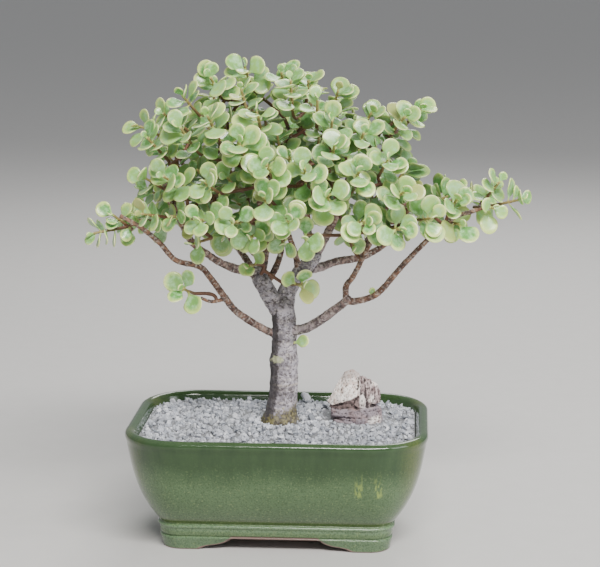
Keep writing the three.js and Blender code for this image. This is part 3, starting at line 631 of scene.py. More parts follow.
def make_pot():
    points, faces = loft(pot_rings())
    pot = new_object("glazed_pot", points, faces, glaze_paint())
    near = np.clip(1 - (points[:, 2] - foot_height(points)) / CLAY_REACH, 0, 1)
    near[points[:, 2] > UNDERSIDE + 2] = 0
    paint_points(pot, "glaze", near, near, near, np.ones(len(near)))
    cut_drain_holes(pot)
    finish(pot, "green_glaze", "pot")


# Soil and drain nets, as the solid model has them

SOIL_TOP = 66
SOIL_CRUMBS = 420
SOIL_TONES = ((0.035, 0.022, 0.014), (0.12, 0.085, 0.055))
NET_NOISES = {"cloud": (300,), "fine": (900, 2)}
NET_TONES = ((0.015, 0.017, 0.016), (0.035, 0.038, 0.036))


def paint_hidden_nodes():
    soil = Paint("potting_soil", {"Roughness": 0.95})
    crumbs = soil.add("TexVoronoi", {"Vector": soil.place, "Scale": SOIL_CRUMBS}).outputs["Distance"]
    soil.colour(soil.mix(crumbs, *SOIL_TONES))
    soil.bump(crumbs, distance=0.0012)
    net = Paint("drain_net", {"Roughness": 0.6})
    levels = net.noises(NET_NOISES)
    net.colour(net.mix(levels["cloud"], *NET_TONES))
    net.bump(levels["fine"], distance=0.0002, strength=0.5)
    for name, paint in (("soil", soil), ("drain_screen_left", net), ("drain_screen_right", net)):
        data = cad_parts[name].data
        data.materials.clear()
        data.materials.append(paint.material)


# Gravel

GRAVEL_LEVEL = 76
GRAVEL_EDGE = 75  # height where it meets the wall
GRAVEL_MOUND = {"rise": 2.2, "half": (90, 60), "foot": -1.0}
# Two waves of the bed: height, then length and start along x and along y
LONG_WAVE = (0.7, 9.0, 1.3, 7.0, 0.4)
SHORT_WAVE = (0.5, 4.3, 5.1)
WAVE_SHARE = 0.6
TRUNK_HOLE = 13.1
BED_GAP = 0.3
BED_RINGS = (0.02, 1, 24)
ROCK_PLACE = np.array((52, 12, 75.2), float)
ROCK_HALF = (24, 18)
ROCK_DIP = {"depth": 3.2, "from": 1.4, "most": 0.5}  # the stone sits in a shallow dip
GRAINS = 5000
GRAIN_SHAPES = 18
GRAIN_CORNERS = 11
GRAIN_REACH = (0.75, 1)  # of its corners, as a share of its half size
GRAIN_FLATNESS = (0.6, 1)
GRAIN_CLEAR = 0.45  # share of its size that a grain keeps from the wall
TRUNK_OVERLAP = 0.8
ROCK_OVERLAP = 0.8
GRAVEL_SEED = 31
GRAIN_SIZES = (1.9, 6.4)
FEW_LARGE = 2.6
GRAIN_RISE = (-0.05, 0.40)  # how far a grain's middle stands over the bed, in its own size
# Larger lumps: place, size
GRAVEL_LUMPS = (
    (14, 55, 13), (-62, -38, 9), (-48, -46, 8), (-34, -30, 8.5), (-20, -14, 9), (-70, -18, 8), (19, -20, 8),
    (22, 4, 9), (-8, 24, 9), (-44, 18, 9), (70, -30, 8), (30, 38, 9), (-66, 22, 8), (80, 22, 9), (4, -46, 8),
    (-26, -50, 8.5), (50, -42, 8), (-18, 8, 8),
)
GRAVEL_NOISES = {"cloud": (45, 2), "grit": (1400, 4, 0.7)}
GRAVEL_LAYERS = (
    (1, (("tint",), (0.43, 0.460, 0.52), (0.71, 0.725, 0.785))),
    (1, (0.90, 0.91, 0.95), ("light", 0.62, 1.0)),
    (1, (0.22, 0.235, 0.265), ("light", 0.20, 0.0)),
    (0.45, (0.35, 0.365, 0.39), ("cloud", 0.60, 0.40)),
)
GRIT = {"share": 0.55, "ends": (0.62, 0.40), "shade": (0.5, 0.5, 0.52)}
# Painted shade on the bed seen between the grains: its share and colour
GAP_SHADE = {"share": 0.65, "colour": (0.10, 0.095, 0.09)}
# The bed's tint, lightness, painted shade and alpha
BED_PAINT = (0.3, 0.4, 1, 1)


def gravel_height(x, y):
    half_x, half_y = GRAVEL_MOUND["half"]
    mound = GRAVEL_MOUND["rise"] * np.maximum(0, 1 - ((x / half_x) ** 2 + (y / half_y) ** 2))
    rise, long_x, start_x, long_y, start_y = LONG_WAVE
    rolling = rise * np.sin(x / long_x + start_x) * np.sin(y / long_y + start_y)
    rise, long_x, long_y = SHORT_WAVE
    rolling = rolling + rise * np.sin(x / long_x) * np.cos(y / long_y)
    return GRAVEL_LEVEL + GRAVEL_MOUND["foot"] + mound + WAVE_SHARE * rolling


def gravel_bed():
    """The bed under the loose grains: a flat ring round the trunk, closed underneath."""
    edge = ring_at(inner_step(GRAVEL_EDGE) - BED_GAP, GRAVEL_EDGE)
    angle = np.arctan2(edge[:, 1], edge[:, 0])
    trunk = TRUNK_HOLE * np.column_stack((np.cos(angle), np.sin(angle), 0 * angle))
    rings = [ring_at(inner_step(SOIL_TOP) - BED_GAP, SOIL_TOP + BED_GAP), edge]
    for share in np.linspace(*BED_RINGS):
        ring = edge + (trunk - edge) * share
        ring[:, 2] = gravel_height(ring[:, 0], ring[:, 1])
        rings.append(ring)
    rings.append(trunk + (0, 0, SOIL_TOP + BED_GAP))
    return np.vstack(rings), ring_faces(len(rings), len(edge), closed=True)


def grain_shape(chance):
    """An angular chip about one across."""
    ways = chance.normal(size=(GRAIN_CORNERS, 3))
    mesh = hull([way / np.linalg.norm(way) * 0.5 * chance.uniform(*GRAIN_REACH) for way in ways])
    mesh.verts.index_update()
    points = np.array([v.co for v in mesh.verts])
    faces = [[v.index for v in face.verts] for face in mesh.faces]
    mesh.free()
    return points, faces


def random_turns(chance, count):
    """Rotation matrices, evenly spread."""
    q = chance.normal(size=(count, 4))
    w, x, y, z = (q / np.linalg.norm(q, axis=1)[:, None]).T
    return np.array((
        (1 - 2 * (y * y + z * z), 2 * (x * y - z * w), 2 * (x * z + y * w)),
        (2 * (x * y + z * w), 1 - 2 * (x * x + z * z), 2 * (y * z - x * w)),
        (2 * (x * z - y * w), 2 * (y * z + x * w), 1 - 2 * (x * x + y * y)),
    )).transpose(2, 0, 1)


def from_rock(spots):
    """How far spots are from the stone's middle, in its half sizes."""
    return np.hypot(*((spots - ROCK_PLACE[:2]) / ROCK_HALF).T)


def grain_places(chance):
    """Where the grains lie and how big they are, clear of the wall and the trunk."""
    half_x, half_y, corner = outline_at(inner_step(GRAVEL_EDGE))
    spots = chance.uniform((-half_x, -half_y), (half_x, half_y), (3 * GRAINS, 2))
    small, large = GRAIN_SIZES
    sizes = small + (large - small) * chance.uniform(size=len(spots)) ** FEW_LARGE
    out = np.maximum(np.abs(spots) - (half_x - corner, half_y - corner), 0)
    inside = np.hypot(*out.T) + sizes * GRAIN_CLEAR < corner
    inside &= np.hypot(*spots.T) > TRUNK_HOLE - TRUNK_OVERLAP
    inside &= from_rock(spots) > ROCK_OVERLAP
    lumps = np.array(GRAVEL_LUMPS, float)
    spots = np.vstack((lumps[:, :2], spots[inside][:GRAINS]))
    return spots, np.append(lumps[:, 2], sizes[inside][:GRAINS])


def gravel_paint():
    paint = Paint("pumice_gravel", {"Roughness": 0.92})
    levels = paint.noises(GRAVEL_NOISES) | paint.data("grain", "tint", "light", "gap_shade")
    tone = paint.lay(GRAVEL_LAYERS, levels)
    gritty = paint.times(GRIT["share"], paint.between(levels["grit"], *GRIT["ends"]))
    tone = paint.mix(gritty, tone, GRIT["shade"], "MULTIPLY")
    # Painted shade on the bed between the grains
    paint.colour(paint.mix(paint.times(GAP_SHADE["share"], levels["gap_shade"]), tone, GAP_SHADE["colour"]))
    paint.bump(levels["grit"], distance=0.0004, strength=0.8)
    return paint.material


def make_gravel():
    chance = np.random.default_rng(GRAVEL_SEED)
    points, faces = gravel_bed()
    pieces = [(points, faces, np.tile(BED_PAINT, (len(points), 1)))]
    shapes = [grain_shape(chance) for _ in range(GRAIN_SHAPES)]
    spots, sizes = grain_places(chance)
    turns = random_turns(chance, len(spots))
    flat = chance.uniform(*GRAIN_FLATNESS, (len(spots), 3))
    heights = gravel_height(*spots.T) + sizes * chance.uniform(*GRAIN_RISE, len(spots))
    heights -= ROCK_DIP["depth"] * np.clip(ROCK_DIP["from"] - from_rock(spots), 0, ROCK_DIP["most"])
    shades = chance.uniform(size=(len(spots), 2))
    for i, (spot, size) in enumerate(zip(spots, sizes)):
        shape, shape_faces = shapes[i % GRAIN_SHAPES]
        chip = (shape * size * flat[i]) @ turns[i].T + (*spot, heights[i])
        pieces.append((chip, shape_faces, np.tile((*shades[i], 0, 1), (len(chip), 1))))
    points, faces, paint, _ = joined(pieces)
    gravel = new_object("gravel_chips", points, faces, gravel_paint(), smooth=False)
    paint_points(gravel, "grain", paint)
    finish(gravel, "pumice_gravel", "gravel")


# Accent stone: two cracked ledges below, a pale peak on the left and steep pinkish ribs on the right

# Each block's name and corners, from the middle of the stone's bed
STONE_BLOCKS = {
    "peak": (
        (-19.6, -4, 14.6), (-16, -9, 12.8), (-9.8, -12, 16), (-3.7, -12.6, 18.4), (1.2, -11.6, 20.6),
        (-15.2, -2, 23), (-11.2, 0, 30), (-7, 1, 35.6), (-2.6, 2, 36.4), (2.3, 0, 33), (2, 5, 32),
        (-8, 8, 28), (-14, 8, 20), (-16, 6, 13), (3, 8, 14), (1, -10, 14),
    ),
    "undercut": (
        (-18.4, -5, 10.9), (-17, -6.6, 12.8), (-9.5, -10.2, 15.6), (-3, -11.2, 18), (2, -10.8, 16),
        (4, -10.4, 11), (-10, -10.6, 11), (-16, 8, 10), (4, 9, 10), (4, 8, 14), (-15, 7, 13),
    ),
    "rib_left": (
        (2, -9.6, 11.5), (1.5, -10.2, 21), (2.6, -6, 32), (5, -4, 33), (6.4, -8.6, 22), (6.6, -9.4, 12),
        (2, 8, 30), (7, 8, 29), (2, 9, 10), (8, 9, 10),
    ),
    "rib_middle": (
        (7, -8, 12), (7, -7.6, 22), (6.6, -3.4, 31.4), (10, -3, 30.2), (11, -8, 20), (11, -8.6, 13.4),
        (6, 8, 28), (11, 8, 27), (6, 8, 10), (11, 8, 10),
    ),
    "rib_right": (
        (11.6, -7.4, 13.4), (11.2, -6, 21), (10.6, -2.6, 29.2), (15.2, -2, 27), (15, -3, 25), (17, -4, 19.6),
        (16, -6, 14.4), (10, 8, 25), (15, 7, 23), (16, 6, 12), (10, 8, 10),
    ),
    "chip": (
        (5, -10, 23), (-1, -12.6, 15), (1, -13, 12.4), (7.4, -12, 12.8), (7, -10.6, 17), (4, -6, 18),
        (2, -6, 12), (8, -6, 13),
    ),
    "upper_ledge": (
        (-16.6, -6, 10.2), (-15.6, -10.6, 9.9), (-2, -13.4, 10.2), (8.5, -12.4, 12.2), (15.6, -8, 12.4),
        (18.4, -4, 8.6), (17, 6, 9), (8, 12, 12), (-12, 10, 10.2), (-17, -6, 6), (-15, -11.4, 6.1),
        (0, -14.2, 5.8), (10, -13.8, 5), (18.2, -6, 5), (17, 7, 4), (8, 13, 4), (-13, 12, 4), (-17, 2, 5),
    ),
    "lower_ledge": (
        (-15.4, -6, 4.9), (-11.6, -10.4, 4.6), (-2, -13.6, 4.4), (4, -14.8, 4.4), (12, -13.6, 5),
        (18.2, -6, 5),
        (-11, -9, 0), (2, -13, 0), (5, -14.6, 0), (10, -13, 0), (17, -8, 0), (19, 2, 0), (18, 6, 2),
        (8, 13, 0), (-13, 11, 0), (-17, 2, 0), (-17, 2, 4),
    ),
    "sill": (
        (-14.6, -10.6, 0), (-15.4, -8.8, 2.8), (-12.8, -11.6, 3.2), (0, -14, 0), (-3, -13.6, 2.2),
        (0, -8, 0), (-12, -4, 0), (-13, -4, 2.8),
    ),
}
STONE_VOXEL = 0.5
RIB_LEAN = math.radians(-24)
# Pale spots on the stone's front: x, height, half width, half height; the last is a rough lump on the slab
PALE_SPOTS = ((4.6, 17.5, 3.0, 5.6), (13.2, 27.6, 3.6, 2.4), (11, 17, 3.0, 4.4), (13.6, 3.4, 4.8, 2.9))
# x and height of the peak's lower edge
PEAK_FOOT = ((-20, 13.5), (-16.5, 12.8), (-9.8, 16), (-3.7, 18.4), (1.2, 20.6))
# Where the upper stone, its right half, the brown under the peak and the peak's crest begin, and their fade
STONE_LEVELS = {"upper": (12.4, 1.2), "right": (2.2, 1.6), "ledge": (10.4, 0.6), "crest": (29.5, 2.5)}
# Relief of the stone: stretch, size of its bumps, octaves and offset
STONE_RELIEF = {
    "layers": ((0.3, 0.3, 1.9), 4.0, 3, 7.0), "ribs": ((1.7, 1.3, 0.3), 4.0, 3, 19.0),
    "chips": ((1, 1, 1), 2.6, 4, 31.0), "crags": ((1, 1, 1), 6.5, 3, 53.0),
}
# How far each relief moves the skin; the ribs' depth grows to the right
CHIP_RISE = 0.42
CRAG_RISE = 0.8
LAYER_DEPTH = 0.6
RIB_DEPTHS = (0.3, 0.55)
STONE_RISE = 0.1
STONE_PUSH = (-1.5, 0.6)
STONE_BED = 0.8  # the stone's flat foot ends at this height
# Where painted shade in a crease begins, and how fast it grows
STONE_CREASE = (0.01, 0.07)
PEAK_FOOT_FADE = 0.8
CREST_SHARE = 0.6
STONE_NOISES = {
    "grain": (900, 4, 0.65), "cloud": (150, 4, 0.6), "layers": ((120, 120, 620), 4, 0.6),
    "ribs": ((560, 420, 110), 4, 0.6, (0, RIB_LEAN, 0)),
}
# Slab, peak, ribs and the brown between them, then rust, pits and painted shade in the creases
STONE_LAYERS = (
    (1, (("layers",), (0.13, 0.105, 0.120), (0.50, 0.43, 0.48))),
    (1, (("ribs", 0.38, 0.52), (0.72, 0.57, 0.51), (1.0, 0.93, 0.88)), ("pale",)),
    (1, (("ribs", 0.38, 0.62), (0.17, 0.120, 0.120), (0.66, 0.54, 0.53)), ("pink",)),
    (1, (("cloud",), (0.085, 0.058, 0.056), (0.30, 0.215, 0.205)), ("brown",)),
    (0.5, (0.32, 0.215, 0.21), ("cloud", 0.50, 0.62), ("clean",)),
    (0.65, (0.17, 0.125, 0.125), ("grain", 0.48, 0.38), ("clean",)),
    # Painted shade in the creases
    (0.95, (0.030, 0.022, 0.022), ("painted_shade",)),
)


def stone_paint():
    paint = Paint("accent_stone", {"Roughness": 0.85})
    levels = paint.noises(STONE_NOISES) | paint.data("stone", "painted_shade", "pale", "pink", "brown")
    levels["clean"] = paint.total(1, (levels["pale"], -0.75))
    paint.colour(paint.lay(STONE_LAYERS, levels))
    paint.bump(paint.total(levels["grain"], levels["layers"], levels["ribs"]), distance=0.0006, strength=0.8)
    return paint.material


def stone_push(z, upper, right, relief):
    """How far each point of the stone moves out of its blocks."""
    push = CHIP_RISE * relief["chips"] + CRAG_RISE * relief["crags"]
    push -= LAYER_DEPTH * np.abs(relief["layers"]) * (1 - upper)
    push -= (RIB_DEPTHS[0] + RIB_DEPTHS[1] * right) * np.abs(relief["ribs"]) * upper
    push = np.clip(push + STONE_RISE, *STONE_PUSH)
    push[z < STONE_BED] = 0
    return push


def brown_parts(x, z, ledge, right, chips):
    """Under the peak's sloping foot, down to the upper ledge, and a little along its crest."""
    below = np.clip((np.interp(x, *zip(*PEAK_FOOT)) - z) / PEAK_FOOT_FADE, 0, 1) * ledge
    start, fade = STONE_LEVELS["crest"]
    crest = np.clip((z - start + fade * chips) / fade, 0, 1) * (1 - right)
    return below * (1 - right), CREST_SHARE * crest


def pale_spots(x, z):
    return np.max([
        bell(((x - spot_x) / wide) ** 2 + ((z - spot_z) / tall) ** 2)
        for spot_x, spot_z, wide, tall in PALE_SPOTS
    ], axis=0)


def make_stone():
    blocks = [hull(in_frame(np.array(block) + ROCK_PLACE)) for block in STONE_BLOCKS.values()]
    stone = joined_mesh("layered_stone", [from_bmesh("block", block) for block in blocks])
    remesh(stone, STONE_VOXEL, 1)
    points, normals = points_of(stone)
    x, y, z = (points - ROCK_PLACE).T
    upper, right, ledge = (
        np.clip((axis - STONE_LEVELS[name][0]) / STONE_LEVELS[name][1], 0, 1)
        for name, axis in (("upper", z), ("right", x), ("ledge", z))
    )
    relief = {name: roughness_at(points, *values) for name, values in STONE_RELIEF.items()}
    push = stone_push(z, upper, right, relief)
    move_points(stone, points + normals * push[:, None])
    # Painted shade in the stone's creases
    painted_shade = np.clip((hollowness(stone, 1) - STONE_CREASE[0]) / STONE_CREASE[1], 0, 1)
    front = y < 0
    below, crest = brown_parts(x, z, ledge, right, relief["chips"])
    brown = np.maximum(below * front, crest)
    spot = pale_spots(x, z) * front
    pale = np.maximum(upper * (1 - right), spot)
    paint_points(stone, "stone", painted_shade, pale, upper * right * (1 - spot), brown)
    stone.data.materials.append(stone_paint())
    finish(stone, "accent_stone", "accent_stone")


# The plant's limbs, and where its shoots and leaves are: the same rule as the solid model's

GAP = 0.3
LEAF_THICK = 1.9
LEAF_WIDTH_SHARE = 0.82
LEAF_CUP = 1.3
LEAF_SUNK = 0.45
LEAF_CLEAR = 1.25
LEAF_EDGE = ((0, 0), (0.16, 0.08), (0.52, 0.97), (0.93, 0.6))
# Pairs of leaves: depth below the tip, size and spread in degrees
OUTER_PAIRS = ((2, 0.86, 48), (9, 1, 74))
INNER_PAIRS = ((4, 1, 62),)
STEM_RADIUS = 1.18
CANOPY_MIDDLE = np.array((18, 4, 232), float)
CANOPY_HALF = np.array((138, 92, 96), float)
UPWARD_PULL = 0.2

# Each limb's radii at its ends, the points it runs through and, for the trunk, its radius at each as a share
LIMBS = (
    ((12.7, 12.7), ((0, 0, 44.4), (0, 0, 76))),
    (
        (12.75, 7.6),
        (
            (0, 0, 75.9), (0.6, 0, 81), (1.6, 0, 89), (2.6, 0, 99), (3, 0, 110),
            (3, 0, 121), (3, 0, 133), (3, 0, 146), (2, 0, 158),
        ),
        (1, 0.9, 0.78, 0.735, 0.72, 0.71, 0.66, 0.62, 0.6),
    ),
    ((6.4, 5), ((2, 0, 152), (-3, -1, 160), (-8, -3, 169), (-13, -5, 178), (-14, -4, 181))),
    ((6.4, 4.6), ((3, 1, 152), (5, 5, 167), (11, 8, 177), (17, 10, 184), (23, 12, 191))),
    # Left side
    ((3.2, 1.7), (
        (-12, -5, 176), (-19, -8, 183), (-28, -14, 186), (-36, -19, 190), (-44, -24, 196),
        (-56, -30, 207), (-64, -33, 224), (-70, -33, 235), (-73, -32, 247),
    )),
    ((2.7, 1.4), (
        (1, 0, 137), (-8, -2, 141), (-18, -7, 148), (-29, -12, 157), (-36, -18, 168), (-44, -24, 181),
        (-51, -29, 190), (-66, -34, 195), (-76, -38, 207), (-88, -42, 218), (-101, -45, 226),
    )),
    ((1.3, 1), ((-35, -17, 166), (-44, -22, 165), (-51, -25, 168))),
    ((2.9, 1.3), ((-13, -4, 178), (-10, -3, 189), (-9, -2, 204), (-11, -4, 223), (-21, -12, 250))),
    ((2.4, 1.3), ((-10, 0, 172), (-3, 4, 184), (1, 8, 199), (-2, 12, 224), (-12, 14, 262), (-22, 8, 292))),
    ((2.2, 1.2), ((-10, -3, 189), (-24, -20, 206), (-37, -36, 226), (-46, -42, 246))),
    ((2.6, 1.2), ((-10, -3, 172), (-26, 16, 190), (-46, 34, 212), (-64, 42, 236), (-74, 40, 258))),
    ((1.8, 1.1), ((-46, 34, 212), (-68, 44, 218), (-90, 40, 228))),
    # Middle and right side
    ((3.4, 1.3), ((22, 12, 189), (20, 13, 200), (15, 16, 219), (13, 18, 235), (11, 20, 256), (4, 18, 280))),
    ((3.4, 1.5), ((22, 12, 189), (28, 12, 199), (36, 10, 215), (42, 6, 228), (46, 4, 248))),
    ((2.4, 1.2), ((12, 9, 180), (11, 5, 191), (8, -2, 203), (4, -10, 219), (2, -30, 236))),
    ((3.4, 1.6), ((14, 9, 181), (27, 20, 182), (38, 26, 185), (56, 36, 187), (73, 44, 197), (88, 48, 219))),
    ((2.4, 1.2), ((20, 11, 188), (18, 34, 204), (14, 52, 226), (6, 58, 250))),
    ((2.2, 1.2), ((56, 36, 187), (60, 52, 208), (58, 60, 232), (52, 60, 254))),
    ((3.6, 2.7), (
        (3, -1, 138), (11, -3, 142), (18, -5, 144), (26, -8, 149), (35, -12, 156), (42, -15, 162),
        (47, -18, 167),
    )),
    ((2.2, 1.2), (
        (46, -17, 166), (46, -20, 176), (51, -24, 184), (60, -32, 203), (71, -38, 226), (76, -40, 243),
    )),
    ((2.5, 1.2), (
        (46, -17, 166), (53, -19, 166), (67, -22, 172), (82, -26, 190), (98, -30, 208), (115, -33, 224),
        (132, -35, 231),
    )),
    ((1.5, 1.1), ((42, 6, 228), (54, 2, 255), (66, -2, 275), (78, -6, 286))),
)
FIRST_SIDE_LIMB = 4  # the stump, the trunk and its two leaders come before it

# In the scene, more pairs on each stem, with the turn between them and the solid model's
OUTER_EXTRA = (
    (((0.2, 0.46, 20),), 90, 0.05),
    (((5.5, 0.92, 64),), 45, 1.3),
    (((15, 0.95, 80), (22, 0.95, 82), (30, 0.9, 82), (38, 0.85, 82)), 45, 1.6),
)
INNER_EXTRA = (
    (((0.2, 0.5, 24),), 90, 0.05),
    (((9.5, 1, 76), (17, 0.95, 82), (25, 0.9, 82), (33, 0.85, 82)), 90, 1.6),
)
SPARSE_BELOW = 203  # shoots that show lower than this carry no extra pairs but the young one at the tip

# Shoots seen from the front: the tip's place, the length of its leaves and, for some, which way it points
FRONT_SHOOTS = [
    # upper left
    ((-60, -48, 284), 18), ((-84, -34, 276), 16), ((-70, -60, 254), 16), ((-42, -52, 292), 17),
    ((-42, -72, 252), 15), ((-86, -36, 250), 15), ((-20, -70, 277), 17), ((-2, -77, 264), 18),
    ((-62, -20, 302), 18, (-0.4, -0.6, 0.6)), ((-44, -16, 314), 17, (-0.2, -0.7, 0.6)),
    ((-94, 2, 280), 16, (-0.7, -0.4, 0.4)), ((-76, -14, 290), 16, (-0.6, -0.5, 0.5)),
    # top
    ((-10, -58, 296), 17), ((-22, -34, 308), 15), ((-22, -10, 321), 17, (-0.1, -0.75, 0.6)),
    ((10, -34, 314), 17), ((28, -44, 302), 15), ((2, -6, 317), 16, (0, -0.7, 0.6)),
    ((20, -8, 312), 15, (0.1, -0.6, 0.7)), ((40, -16, 306), 16, (0.2, -0.6, 0.7)), ((-48, 20, 304), 17),
    ((20, 24, 308), 17),
    # middle
    ((-4, -82, 244), 17), ((-46, -72, 228), 18), ((-66, -58, 228), 15), ((-24, -80, 228), 16),
    ((12, -84, 230), 17), ((-14, -66, 216), 15), ((22, -78, 262), 17), ((22, -76, 217), 17),
    # upper right
    ((40, -70, 276), 18), ((37, -82, 246), 19), ((38, -54, 290), 16), ((58, -52, 282), 17),
    ((62, -20, 292), 16, (0.3, -0.6, 0.6)), ((56, -76, 260), 16), ((74, -60, 266), 17),
    ((84, -24, 290), 16, (0.4, -0.6, 0.6)), ((94, -12, 294), 15, (0.5, -0.6, 0.6)),
    # right
    ((84, -66, 246), 18), ((60, -76, 228), 17), ((82, -66, 222), 17), ((102, -56, 228), 17),
    ((120, -40, 222), 18, (0.3, -0.9, 0.1)), ((118, -40, 238), 16, (0.2, -0.8, 0.5)),
    ((142, -34, 232), 17, (0.5, -0.8, 0.1)), ((146, -28, 248), 16, (0.5, -0.5, 0.7)),
    ((160, -30, 237), 15, (0.9, -0.3, 0.25)),
    # lower left
    ((-119, -44, 214), 14, (-0.8, -0.5, -0.1)), ((-106, -42, 226), 15, (-0.4, -0.7, 0.5)),
    ((-60, -46, 178), 17, (-0.2, -0.9, 0.3)), ((-52, -58, 210), 15), ((-86, -50, 228), 15),
    # under the crown
    ((18, -30, 179), 17, (0.5, -0.75, 0.15)), ((-18, -34, 192), 13, (-0.3, -0.8, 0.1)),
    ((5, -40, 208), 16, (0.1, -0.8, -0.5)), ((52, -50, 208), 15, (0.2, -0.8, -0.4)),
]
# The crown's outline from the front: distance from the trunk, lowest and highest leaf
CROWN = (
    (-130, 204, 214), (-104, 200, 232), (-94, 196, 270), (-82, 196, 298), (-50, 197, 318), (-20, 198, 330),
    (15, 198, 326), (45, 198, 310), (80, 200, 292), (92, 203, 268), (104, 206, 246), (140, 212, 246),
    (170, 222, 238),
)
SIDE_MARGIN = 10
VIEW_SLOPE = 0.188  # from the front, what stands further back shows this much higher
BACK_SHOOTS = {
    "count": 110, "down": 1.45, "shell": (0.84, 0.12), "apart": 27, "furthest_front": -24,
    "margins": (16, 8), "leaf_length": 17, "length": 22, "seed": 300,
}
INNER_SHOOTS = {
    "count": 190, "down": 1.4, "shell": (0.55, 0.24), "apart": 22.5, "furthest_front": -70,
    "margins": (18, 12), "leaf_length": 15, "length": 14, "seed": 1300,
}
GOLDEN_ANGLE = math.pi * (3 - math.sqrt(5))
LEAF_LENGTH_DRAW = (0.88, 0.28, 200)  # least share, what the draw adds, and its seed's offset
DRAW_STEP = 12.9898
DRAW_SIZE = 43758.5453
MOST_SHOOTS_ON_A_SPRAY = 4
PORT_SHARES = (0.35, 0.65)
FIRST_PORT = 0.3
PORTS_TRIED = 40
USED_REACH = 2.5  # a port this near to one in use can't be used
WOOD_COST = 7
FREE_END_COST = -26
LENGTH_COST = 1.3
FORWARD_GAIN = 0.5
STEM_BEND = 0.3
STEM_CLEAR = 0.6
STEM_TESTS = 6  # points tested on each piece of a stem
JUST_LEFT = 2.2
LEAST_TURN = 0.4  # a stem mustn't fold back where it leaves
NEAR_BLADES = 60
NEAR_WOOD = 90
TURNS = 5
TURN_STEP = math.pi / 10
EXTRA_TURN_STEP = 0.2
SEEDS_A_STEM = 20
OUTER_SEED, INNER_SEED = 1000, 9000
OUTER_EXTRA_SEED, INNER_EXTRA_SEED = 5000, 7000
LEAF_MARGIN = 3
LEAF_NEAR_WOOD = 30
LEAF_OFF_WOOD = 1.9
LEAST_STEM_LEFT = 4  # a pair needs so much stem below it
# Drawn for each leaf: its turn, its length as a share and its lean in degrees
TURN_RANGE = 0.7
LENGTH_SHARES = (0.82, 0.3)
LEAN_RANGE = 26
LEAF_TRIES = ((0, 1), (12, 1), (-12, 1), (0, 0.82), (18, 0.82), (-18, 0.82))


def draw(seed):
    """A repeatable draw between 0 and 1."""
    wave = math.sin(seed * DRAW_STEP) * DRAW_SIZE
    return wave - math.floor(wave)


def unit(vector):
    return vector / np.linalg.norm(vector)


def make_limb(radii, points, profile=None):
    points = np.array(points, float)
    share = np.arange(len(points)) / (len(points) - 1)
    sizes = radii[0] * np.array(profile, float) if profile else (1 - share) * radii[0] + share * radii[1]
    return SimpleNamespace(is_wood=True, points=points, radii=sizes)


def make_shoot(tip, leaf_length, axis=None, length=22):
    """A straight leafy end; without an axis it points away from the middle of the crown."""
    tip = np.array(tip, float)
    if axis is None:
        axis = (tip - CANOPY_MIDDLE) / CANOPY_HALF**2 * CANOPY_HALF[1] + (0, 0, UPWARD_PULL)
    axis = unit(np.array(axis, float))
    return SimpleNamespace(tip=tip, leaf_length=leaf_length, axis=axis, foot=tip - length * axis)


def shell_shoots(rule, others):
    """Shoots spread evenly over a shell inside the crown, clear of the others."""
    found = []
    xs, lows, highs = zip(*CROWN)
    for i in range(rule["count"]):
        up = 1 - rule["down"] * (i + 0.5) / rule["count"]
        around = math.sqrt(1 - up * up)
        shell = rule["shell"][0] + rule["shell"][1] * draw(i + rule["seed"])
        way = np.array((around * math.cos(GOLDEN_ANGLE * i), around * math.sin(GOLDEN_ANGLE * i), up))
        tip = CANOPY_MIDDLE + CANOPY_HALF * shell * way
        shown = VIEW_SLOPE * tip[1]
        outer = tip[0] + SIDE_MARGIN * np.sign(tip[0] - CANOPY_MIDDLE[0])
        tip[2] = min(tip[2], np.interp(outer, xs, highs) - rule["margins"][1] - shown)
        low = np.interp(outer, xs, lows) + rule["margins"][0] - shown
        near = any(np.linalg.norm(other.tip - tip) < rule["apart"] for other in others + found)
        if near or tip[1] < rule["furthest_front"] or tip[2] < low:
            continue
        least, more, offset = LEAF_LENGTH_DRAW
        share = least + more * draw(i + rule["seed"] + offset)
        found.append(make_shoot(tip, rule["leaf_length"] * share, length=rule["length"]))
    return found


def distances(start, end, points):
    """From each segment to each point."""
    along = end - start
    offset = points[None] - start[:, None]
    share = np.einsum("spk,sk->sp", offset, along) / np.einsum("sk,sk->s", along, along)[:, None]
    share = np.clip(share, 0, 1)
    return np.linalg.norm(offset - share[..., None] * along[:, None], axis=2)


def make_port(place, along, radius, owner, is_end=False):
    """A place that a shoot can grow from."""
    return SimpleNamespace(place=place, along=along, radius=radius, owner=owner, is_end=is_end, used=False)


def is_open(port):
    return not port.used and (port.owner.is_wood or len(port.owner.stems) < MOST_SHOOTS_ON_A_SPRAY)


def ports_on(points, radii, owner, with_end=False):
    ports = []
    pieces = len(points) - 1
    for i in range(pieces):
        for share in PORT_SHARES:
            if (i + share) / pieces >= FIRST_PORT:
                step = points[i + 1] - points[i]
                radius = max(radii[i], radii[i + 1])
                ports.append(make_port(points[i] + share * step, unit(step), radius, owner))
    if with_end:
        ports.append(make_port(points[-1], unit(points[-1] - points[-2]), 0, owner, True))
    return ports


def bezier(controls, shares):
    a, b, c, d = controls
    t = np.asarray(shares, float)[:, None]
    return (1 - t) ** 3 * a + 3 * (1 - t) ** 2 * t * b + 3 * (1 - t) * t**2 * c + t**3 * d


def run_along(line):
    """The length of a line up to each of its points."""
    return np.append(0, np.cumsum(np.linalg.norm(np.diff(line, axis=0), axis=1)))


